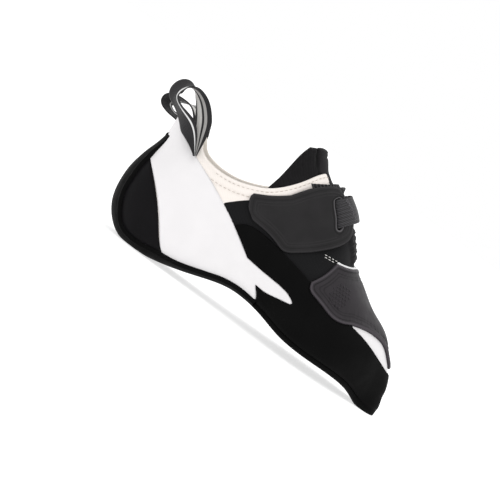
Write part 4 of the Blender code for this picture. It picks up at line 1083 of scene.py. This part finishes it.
def longest_border(faces):
    """The longest closed run of edges with a face on one side, in the faces' own direction."""
    ends = np.concatenate([faces[:, [0, 1]], faces[:, [1, 2]], faces[:, [2, 0]]])
    known = {(a, b) for a, b in ends.tolist()}
    follows = {a: b for a, b in known if (b, a) not in known}
    best = []
    while follows:
        run = [next(iter(follows))]
        while run[-1] in follows:
            run.append(follows.pop(run[-1]))
        if len(run) - 1 > len(best):
            best = run[:-1]
    return best


def make_tongue():
    us, shares = np.linspace(*TONGUE_ROWS, 120), np.linspace(-TONGUE_REACH, TONGUE_REACH, 41)
    arcs = arc_places(us, shares)
    strip = grid_sheet(*lay(us, shares=np.broadcast_to(shares, arcs.shape)), arcs, us)
    half = np.abs(arcs).max(1)
    centre = area(lambda at: np.interp(at.places[:, 1], us, half) - np.abs(at.places[:, 0]))
    tongue, distance = strip.cut(both(within(trace(*TONGUE_OUTLINE), -WALL), centre))
    outer = -WALL - GAP
    swell = TONGUE_SWELL * smooth(distance, 0.0, TONGUE_SWELLS_OVER)
    parting = ridge(np.abs(tongue.places[:, 0]), *TONGUE_PARTING)
    top = tongue.points[:, 2].max()
    tongue.points[:, 2] -= TONGUE_NOTCH * parting * smooth(tongue.points[:, 2], top - TONGUE_NOTCH_DEPTH, top)
    quilt = ridges(distance, TONGUE_QUILT)
    piece = slab("tongue_pad", tongue, distance, outer - TONGUE, outer, "tongue", ["knit"],
                 relief=swell + quilt - PARTING_DEPTH * parting, under=-swell, node="tongue", slot="fabric_black")


def make_insole():
    us = np.linspace(*INSOLE_ROWS, 90)
    outer, inner = (bottom_edge(us, side, INSOLE_MARGIN) for side in (1, -1))
    steps = np.linspace(0, 1, 13)
    shares = np.stack([outer + (1 - outer) * t for t in steps] + [inner - (1 + inner) * t for t in steps[-2::-1]], 1)
    top = -WALL - INSOLE_GAP
    down, across = np.indices(shares.shape)
    edge = np.minimum.reduce([across, across[:, ::-1], down, down[::-1]]) * INSOLE_CELL
    board = grid_sheet(*lay(us, shares=shares), across * INSOLE_COLUMN, us)
    slab("insole_board", board, edge.ravel(), top - INSOLE, top, "insole", ["insole"], node="insole",
         slot="fabric_cream")


def bottom_edge(us, side, margin):
    """Skin shares of the line that is margin in from the outline of the last, on one side."""
    shares = side * np.linspace(1, 0.5, 80)
    found = []
    for row in lay(us, shares=shares)[0]:
        reach = np.abs(row[:, 1] - row[0, 1])
        rising = slice(0, np.argmax(reach) + 1)
        found.append(np.interp(reach.max() - margin, reach[rising], shares[rising]))
    return np.array(found)


def strap_levels():
    """Offsets of the strap's layers over the instep, from the skin out: elastic, lower webbing, tab, upper."""
    elastic = (STRAP_CLEARANCE, STRAP_CLEARANCE + ELASTIC)
    lower = elastic[1] + STRAP_CLEARANCE
    tab = lower + WEBBING + STRAP_CLEARANCE
    upper = tab + TAB + STRAP_CLEARANCE
    return elastic, lower, tab, upper


def slot_arcs(us):
    share = (np.asarray(us) - STRAP_ROWS[0]) / (STRAP_ROWS[1] - STRAP_ROWS[0])
    return SLOT_ARC[0] + (SLOT_ARC[1] - SLOT_ARC[0]) * share


def tab_offset(arcs):
    """The tab lies down on the side of the shoe and rises over the webbing near its slot."""
    raised = strap_levels()[2]
    return raised + (TAB_RESTS_AT - raised) * smooth(arcs, TAB_FALLS_FROM, TAB_FALLS_FROM + TAB_FALLS_OVER)


def make_elastic():
    us = np.linspace(*ELASTIC_ROWS, 90)
    arcs = np.arange(ELASTIC_INNER_ARC, ELASTIC_OUTER_ARC + 1e-6, RIB_PITCH / 6)
    sheet = arc_sheet(us, arcs)
    edge = np.minimum.reduce([sheet.places[:, 0] - arcs[0], arcs[-1] - sheet.places[:, 0],
                              (sheet.places[:, 1] - us[0]) * ROW_SPACING * 0.5,
                              (us[-1] - sheet.places[:, 1]) * ROW_SPACING])
    low, high = strap_levels()[0]
    rib = RIB_HEIGHT * (0.5 - 0.5 * np.cos(math.tau * sheet.places[:, 0] / RIB_PITCH))
    (row, rows), (arc, reach) = ELASTIC_FOLD
    fold = ELASTIC_FOLD_HEIGHT * ridge(sheet.places[:, 1], row, rows) * ridge(sheet.places[:, 0], arc, reach)
    slab("elastic_gusset", sheet, np.maximum(edge, 0), low, high, "elastic", ["elastic"],
         relief=rib - RIB_HEIGHT / 2 + fold, under=fold, node="strap_elastic", slot="fabric_black")


@area
def slot_region(sheet):
    """The tab's slot, a rounded oblong across the strap's rows."""
    arc, u = sheet.places[:, 0], sheet.places[:, 1]
    middle, half = sum(STRAP_ROWS) / 2, (STRAP_ROWS[1] - STRAP_ROWS[0]) / 2 + SLOT_MARGIN_ROWS
    radius = SLOT_WIDTH / 2
    along_slot = np.maximum(np.abs(u - middle) - half, -half) * SLOT_ROW_SPACING
    past = np.maximum(along_slot + radius, 0)
    return radius - np.hypot(past, arc - slot_arcs(u))


def make_tab():
    us = np.linspace(*TAB_ROWS, 120)
    arcs = np.linspace(*TAB_ARCS, 76)
    sheet = arc_sheet(us, arcs)
    outline = within(trace(*TAB_OUTLINE), TAB_OUTLINE_AT)
    corner_arc, corner_row = TAB_CORNER
    corner = area(lambda at: np.minimum(corner_arc - at.places[:, 0],
                                        (corner_row - at.places[:, 1]) * SLOT_ROW_SPACING))
    tab, distance = sheet.cut(both(outline, outside(corner), outside(slot_region)))
    low = tab_offset(tab.places[:, 0])
    _, from_edge = outline(tab)
    from_slot = -slot_region(tab)[0]
    bevel = -TAB_BEVEL * (1 - smooth(from_edge, *TAB_BEVEL_FADE))
    mark = np.where(from_slot < SLOT_MARK_REACH, SLOT_MARK + from_slot, from_edge)
    slab("strap_tab_moulded", tab, distance, low, low + TAB, "tab", ["tab"],
         relief=ridges(from_slot, SLOT_RIM) + bevel + ridges(from_edge, TAB_LINES), mark=mark, node="strap_tab",
         slot="rubber_black")


def make_webbing():
    """The strap's webbing: sewn low on the inner side, over the instep, round the tab's bar and back under it."""
    _, lower, _, upper = strap_levels()
    low, high = lower + WEBBING / 2, upper + WEBBING / 2
    radius = (high - low) / 2
    turn_at = SLOT_WIDTH / 2 - WEBBING / 2 - STRAP_CLEARANCE
    inward = np.linspace(WEBBING_INNER_ARC, 0, 60)
    run_in = np.stack([inward, low + (high - low) * smooth(inward, WEBBING_RISE_ARC, 0)], 1)
    turn, ahead = np.linspace(0, math.pi, 13), np.linspace(0, 0.97, 16)
    rings, marks = [], []
    for u, side_at in zip(np.linspace(*STRAP_ROWS, 34), np.linspace(-1, 1, 34)):
        bar = slot_arcs(u) + turn_at - radius
        centre = np.concatenate([
            run_in[:-1],
            [(bar * share, high) for share in ahead],
            np.stack([bar + radius * np.sin(turn), (low + high) / 2 + radius * np.cos(turn)], 1),
            [(bar * share, low) for share in np.linspace(0.97, 0, 14)],
            [(arc, low) for arc in np.linspace(0, WEBBING_TUCK_ARC, 6)[1:]],
        ])
        heading = unit(np.gradient(centre, axis=0))
        half = WEBBING / 2 * max(rounded((1 - abs(side_at)) * STRAP_REACH, STRAP_EDGE), THINNEST)
        side = np.stack([-heading[:, 1], heading[:, 0]], 1) * half
        ring = np.concatenate([centre + side, (centre - side)[::-1]])
        rings.append(place([u], arcs=ring[:, 0], offsets=ring[:, 1])[0])
        marks.append(strip_marks(side_at * STRAP_HALF, run_length(centre), 1.0))
    swept("strap_webbing_band", rings, marks, "strap", node="strap_webbing", slot="webbing_black")


def strip_marks(across, lengthwise, face):
    """Marks for a ring round a strip: where each point is across and along it, and its face, 1 or -1."""
    row = np.stack(np.broadcast_arrays(across, lengthwise, face), 1)
    return np.concatenate([row, row[::-1] * (1, 1, -1)])


def swept(name, rings, marks, finish, **kinds):
    """A solid through closed rings of equally many points, where each ring is a thin strip folded back."""
    rings = np.array(rings)
    count, size = rings.shape[:2]
    faces = [grid_faces(count, size, closed=True)]
    j = np.arange(size // 2 - 1)
    for start, order in ((0, 1), ((count - 1) * size, -1)):
        a, b, c, d = start + j, start + j + 1, start + size - 2 - j, start + size - 1 - j
        faces += [np.stack(corners, 1)[:, ::order] for corners in ((a, b, c), (a, c, d))]
    return new_mesh(name, rings.reshape(-1, 3), np.concatenate(faces), [FINISHES[finish]],
                    np.reshape(marks, (-1, 3)), **kinds)


def make_loop(name, node, table):
    """A pull loop: a strap that leaves the collar, turns round behind the heel and is sewn down over its start."""
    at = np.linspace(0, len(table) - 1, 9 * (len(table) - 1) + 1)
    x, z, y = np.array([row[:3] for row in table], float).T
    x, z = side_view(x, z)
    centre = cubic(np.arange(len(table)), np.stack([x, y / 100 * HEEL_WIDTH / 2, z], 1), at)
    across = cubic(np.arange(len(table)), [wide for *_, wide in table], at)
    heading = unit(np.gradient(centre, axis=0))
    across = unit(across - np.sum(across * heading, 1, keepdims=True) * heading)
    facing = np.cross(across, heading)
    run = run_length(centre)
    end = np.minimum(run, run[-1] - run)
    widths = LOOP_WIDTH * (LOOP_TIP + (1 - LOOP_TIP) * smooth(end, -LOOP_SEWN, LOOP_TAPER))
    steps = np.linspace(-1, 1, 15)
    rings, marks = [], []
    for c, f, a, length, width in zip(centre, facing, across, run, widths):
        thin = np.maximum(rounded((1 - np.abs(steps)) * width / 2, LOOP_EDGE), LOOP_THINNEST)
        cup = -LOOP_CUP * (steps**2)[:, None] * f
        strip = c + a * (steps * width / 2)[:, None] + cup
        lift = f * (thin * LOOP_THICKNESS / 2)[:, None]
        rings.append(np.concatenate([strip + lift, (strip - lift)[::-1]]))
        marks.append(strip_marks(steps * LOOP_WIDTH / 2, length, -1.0))
    swept(name, rings, marks, "loop", node=node, slot="webbing_black")


def make_instep_knit():
    """The knit of the gusset, bunched between the strap and the toe patch."""
    sheet = arc_sheet(np.linspace(*KNIT_ROWS, 56), np.linspace(*KNIT_ARCS, 60))
    arc, u = sheet.places[:, 0], sheet.places[:, 1]
    edge = np.minimum.reduce([arc - KNIT_ARCS[0], KNIT_ARCS[1] - arc, (u - KNIT_ROWS[0]) * ROW_SPACING,
                              (KNIT_ROWS[1] - u) * ROW_SPACING])
    edge = np.maximum(edge, 0)
    waves = sum(np.sin(u * by_row + arc * by_arc) * height for by_row, by_arc, height in KNIT_WAVES)
    overlay("instep_knit", sheet, edge, KNIT_HEIGHT, "knit", "fuzzy", slot="fabric_black",
            relief=KNIT_BULGE * smooth(edge, 0, KNIT_RISES_OVER) * (1 + waves))


def side_tree(sheet, offset):
    return BVHTree.FromPolygons((sheet.points + sheet.normals * offset).tolist(), sheet.faces.tolist())


def on_side(tree, line, side):
    """Where a side-view line lies on a surface, seen from one side: points and normals."""
    hits = [tree.ray_cast(Vector((x, side * 0.2, z)), Vector((0, -side, 0)))[:2] for x, z in line]
    return [(np.array(point), np.array(normal) * (1 if normal.y * side > 0 else -1))
            for point, normal in hits if point is not None]


def repeated(name, shapes, faces, material, **kinds):
    """A piece of many small shapes, each a list of points with the same faces."""
    faces = np.asarray(faces) + len(shapes[0]) * np.arange(len(shapes))[:, None, None]
    return new_mesh(name, np.reshape(shapes, (-1, 3)), faces.reshape(-1, 3), [material], **kinds)


def around(side, up, count):
    """Unit vectors round a ring, from side towards up."""
    turns = (np.arange(count) * math.tau / count)[:, None]
    return side * np.cos(turns) + up * np.sin(turns)


def stitched(name, runs, finish):
    """Stitches along runs of (point, normal), each a short thread sunk halfway."""
    length, gap, radius = STITCHES[name]
    last = (len(STITCH) - 1) * STITCH_SIDES
    ends = [corners for j in range(1, STITCH_SIDES - 1)
            for corners in ((0, j + 1, j), (last, last + j, last + j + 1))]
    shapes = []
    for run in runs:
        points, normals = (np.array(values) for values in zip(*run))
        for start in np.arange(0, run_length(points)[-1] - length, length + gap):
            begin, end = along(points, (start, start + length))
            heading = end - begin
            side = unit(np.cross(heading, along(points, start, normals)))
            up = unit(np.cross(side, heading))
            ring = around(side, up, STITCH_SIDES)
            shapes.append(np.concatenate([
                begin + heading * share + radius * (up * (0.9 * math.sin(math.pi * share) - 0.35) + wide * ring)
                for share, wide in STITCH]))
    faces = np.concatenate([grid_faces(len(STITCH), STITCH_SIDES, closed=True), ends])
    return repeated(name, shapes, faces, FINISHES[finish])


def tube(name, run, finish):
    """Piping laid along a run of (point, normal)."""
    points, normals = (np.array(values) for values in zip(*run))
    points = points + normals * PIPING_LIFT
    for _ in range(PIPING_PASSES):
        points[1:-1] = (points[:-2] + 2 * points[1:-1] + points[2:]) / 4
    heading = unit(np.gradient(points, axis=0))
    side = unit(np.cross(heading, normals))
    rings = [p + PIPING_RADIUS * around(s, n, PIPING_SIDES)
             for p, s, n in zip(points, side, np.cross(side, heading))]
    marks = np.broadcast_to((0, 0, 1), (len(rings), PIPING_SIDES, 3))
    return swept(name, rings, marks, finish, slot="fabric_cream")


def make_seams(sheet):
    """Stitching on the collar and beside the toe patch, and the piping on the patch's rear edge."""
    tree = side_tree(sheet, STITCHES_AT)
    top = np.array(trace(TOPLINE[1]))
    heading = unit(np.gradient(top, axis=0))
    inward = np.stack([heading[:, 1], -heading[:, 0]], 1)
    runs = []
    for depth, last in COLLAR_STITCHES:
        line = top + inward * depth
        line = line[(line[:, 0] > profile_x(COLLAR_STITCHES_FROM)) & (line[:, 0] < profile_x(last))]
        runs += [on_side(tree, line, side) for side in (-1, 1)]
    stitched("collar_stitches", runs, "cream_thread")
    rows = [np.linspace(*np.array(trace(run)), 30) for run in PATCH_STITCHES]
    stitched("patch_stitches", [on_side(tree, row, side) for row in rows for side in (-1, 1)], "thread")
    make_piping(sheet)


def make_piping(sheet):
    """The cord on the toe patch's rear edge, which crosses the ridge in a straight line seen from above."""
    rear = np.array(trace(reverse(PATCH_REAR)))
    t = np.linspace(0, len(rear) - 1, 120)
    rear = np.stack([np.interp(t, np.arange(len(rear)), column) for column in rear.T], 1)
    rear[:, 0] -= PIPING_BACK
    tree = side_tree(sheet, GAP + PIPING_AT)
    near, far = (on_side(tree, rear, side) for side in (-1, 1))
    ends = [max((run[0][0], run[-1][0]), key=lambda point: point[2]) for run in (near, far)]
    crown = []
    for x, y, _ in np.linspace(*ends, 11)[1:-1]:
        hit, up = tree.ray_cast(Vector((x, y, 0.2)), Vector((0, 0, -1)))[:2]
        crown.append((np.array(hit), np.array(up) * (1 if up.z > 0 else -1)))
    tube("patch_piping", near[::-1] + crown + far, "piping")


def make_strap_stitches():
    """The bar tack that sews the webbing's end down, beside the slot."""
    us = np.linspace(*STRAP_TACK_ROWS, 27)
    spots = [lay([u], arcs=[STRAP_TACK_ARCS[k % 2]]) for k, u in enumerate(us)]
    above = strap_levels()[3] + WEBBING + TACK_LIFT
    run = [(point[0, 0] + normal[0, 0] * above, normal[0, 0]) for point, normal in spots]
    stitched("strap_tacks", [run], "grey_thread")


def make_patch_dots(sheet):
    """Raised dots on the toe patch, in an oval on the outer side."""
    x, z = side_view(*PATCH_DOTS)
    spots = []
    for row in range(-5, 6):
        for column in range(-5, 6):
            a, b = (column + 0.5 * (row % 2)) * PATCH_DOT_PITCH, row * PATCH_DOT_PITCH * 0.87
            if math.hypot(a / PATCH_DOT_OVAL[0], b / PATCH_DOT_OVAL[1]) <= 1:
                spots.append((x + a, z + b))
    shapes = []
    for centre, up in on_side(side_tree(sheet, GAP + TOE_PATCH), spots, -1):
        side = unit(np.cross(up, (0.0, 0.0, 1.0)))
        ring = around(side, np.cross(up, side), DOT_SIDES)
        rows = [PATCH_DOT_RADIUS * share * ring + up * rise * PATCH_DOT_HEIGHT for share, rise in DOT_PROFILE]
        shapes.append(centre + np.concatenate([*rows, [up * PATCH_DOT_HEIGHT]]))
    last = (len(DOT_PROFILE) - 1) * DOT_SIDES
    cap = [(last + n, last + (n + 1) % DOT_SIDES, last + DOT_SIDES) for n in range(DOT_SIDES)]
    faces = np.concatenate([grid_faces(len(DOT_PROFILE), DOT_SIDES, closed=True), cap])
    marks = np.full((len(shapes) * len(shapes[0]), 3), DOT_MARK)
    repeated("toe_patch_dots", shapes, faces, FINISHES["patch"], marks=marks, slot="rubber_grey")


def set_camera():
    elevation, roll = CAMERA_ELEVATION, CAMERA_ROLL
    back = Vector((0, -math.cos(elevation), math.sin(elevation)))
    rise = Vector((0, math.sin(elevation), math.cos(elevation)))
    right = Vector((math.cos(roll), 0, 0)) + rise * math.sin(roll)
    up = Vector((-math.sin(roll), 0, 0)) + rise * math.cos(roll)
    data = bpy.data.cameras.new("camera")
    data.sensor_width = SENSOR
    data.lens = SENSOR * CAMERA_DISTANCE / FRAME_WIDTH
    data.clip_end = 100
    camera = bpy.data.objects.new("camera", data)
    spot = Vector(CAMERA_TARGET) + back * CAMERA_DISTANCE
    camera.matrix_world = Matrix.Translation(spot) @ Matrix((right, up, back)).transposed().to_4x4()
    bpy.context.scene.collection.objects.link(camera)
    bpy.context.scene.camera = camera


def set_lights():
    bpy.context.scene.view_settings.view_transform = "Standard"
    world = bpy.data.worlds.new("studio")
    bpy.context.scene.world = world
    world.use_nodes = True
    background = world.node_tree.nodes["Background"]
    background.inputs["Color"].default_value = (1, 1, 1, 1)
    background.inputs["Strength"].default_value = WORLD_LIGHT
    for name, spot, size, power in LIGHTS:
        data = bpy.data.lights.new(name, "AREA")
        data.shape, data.size, data.energy = "DISK", size, power
        light = bpy.data.objects.new(name, data)
        light.location = spot
        light.rotation_euler = (Vector(spot) - Vector(CAMERA_TARGET)).to_track_quat("Z", "Y").to_euler()
        bpy.context.scene.collection.objects.link(light)


def make_floor():
    mesh = bpy.data.meshes.new("floor")
    corners = [(x * FLOOR_HALF, y * FLOOR_HALF, 0) for x, y in ((-1, -1), (1, -1), (1, 1), (-1, 1))]
    mesh.from_pydata(corners, [], [(0, 1, 2, 3)])
    f = Finish("glowing_floor", FLOOR_COLOUR, 0.9, 0.1)
    f.put("Base Color", f.mix(f.noise(0.4, 2), scaled(FLOOR_COLOUR, 0.995), FLOOR_COLOUR))
    # The glow is painted light, which pales the shadow under the shoe and lights its underside
    f.put("Emission Color", (1, 1, 1, 1))
    f.put("Emission Strength", FLOOR_GLOW)
    mesh.materials.append(f.done())
    floor = bpy.data.objects.new("floor", mesh)
    bpy.context.scene.collection.objects.link(floor)


WHITE, CREAM, LINING = srgb(224, 222, 223), srgb(236, 229, 223), srgb(250, 244, 236)
LOOP_OUTER_STRIPES = ((0.0030, 0.0044, srgb(228, 228, 228)),)
LOOP_INNER_STRIPES = ((-0.0048, -0.0006, srgb(205, 203, 200)), (0.0012, 0.0036, srgb(160, 158, 156)))

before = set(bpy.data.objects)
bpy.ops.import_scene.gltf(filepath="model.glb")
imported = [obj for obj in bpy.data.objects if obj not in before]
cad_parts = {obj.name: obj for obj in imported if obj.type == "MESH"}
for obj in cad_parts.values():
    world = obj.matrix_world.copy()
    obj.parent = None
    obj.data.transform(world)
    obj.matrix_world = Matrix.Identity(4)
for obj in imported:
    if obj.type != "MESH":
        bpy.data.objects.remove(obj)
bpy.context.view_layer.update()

FINISHES = {
    "rand": rubber("rand_rubber", srgb(8, 8, 8), 0.6, 0.04),
    "sole": rubber("sole_rubber", srgb(8, 8, 8), 0.70, 0.04, grain=0.00002),
    "cup": rubber("cup_rubber", srgb(11, 10, 12), 0.45, 0.07),
    "patch": rubber("patch_rubber", srgb(41, 38, 41), 0.48, 0.15, bands=PATCH_PAINTED_LIGHT),
    "tab": rubber("tab_rubber", srgb(31, 30, 31), 0.55, 0.15, bands=TAB_PAINTED_LIGHT),
    "white": coated("coated_white", WHITE),
    "cream": woven("cream_lining_knit", CREAM, contrast=0.06, sheen=0.2),
    "lining": woven("inner_lining", LINING, contrast=0.05, sheen=0.2),
    "textile": woven("black_textile", srgb(14, 14, 16), thread=0.0011, depth=0.00006, sheen=0.05, contrast=0.5),
    "knit": woven("tongue_knit", srgb(17, 15, 17), thread=0.0022, depth=0.00012, parting=TONGUE_PARTING, sheen=0.08,
                  contrast=0.5),
    "insole": woven("insole_cloth", srgb(196, 190, 180), thread=0.001, contrast=0.12),
    "elastic": ribbed("elastic_rib", srgb(44, 43, 45), RIB_PITCH),
    "strap": tape("strap_tape", srgb(35, 34, 36), thread=0.0022, contrast=0.85),
    "loop": tape("loop_tape", srgb(27, 26, 28), stripes=LOOP_OUTER_STRIPES, inner_stripes=LOOP_INNER_STRIPES),
    "thread": thread_finish("pale_thread", srgb(214, 212, 208)),
    "cream_thread": thread_finish("cream_thread", srgb(196, 186, 176)),
    "grey_thread": thread_finish("grey_thread", srgb(92, 90, 93)),
    "piping": thread_finish("white_piping", srgb(240, 240, 240)),
    "fuzzy": woven("instep_knit", srgb(21, 20, 22), thread=0.0012, depth=0.0001, sheen=0.06, contrast=0.35),
}


def main():
    whole = base_sheet()
    make_upper(whole)
    make_insole()
    make_heel_panel(whole)
    make_heel_cup("heel_cup_outer_rubber", "heel_cup_outer", whole, -1)
    make_heel_cup("heel_cup_inner_rubber", "heel_cup_inner", whole, 1)
    make_heel_band(whole)
    make_rand(whole)
    make_toe_patch(whole)
    make_outsole(whole)
    make_tongue()
    make_elastic()
    make_tab()
    make_webbing()
    make_loop("pull_loop_outer_tape", "pull_loop_outer", OUTER_LOOP)
    make_loop("pull_loop_inner_tape", "pull_loop_inner", INNER_LOOP)
    make_instep_knit()
    make_seams(whole)
    make_strap_stitches()
    make_patch_dots(whole)
    make_floor()
    set_lights()
    set_camera()


main()
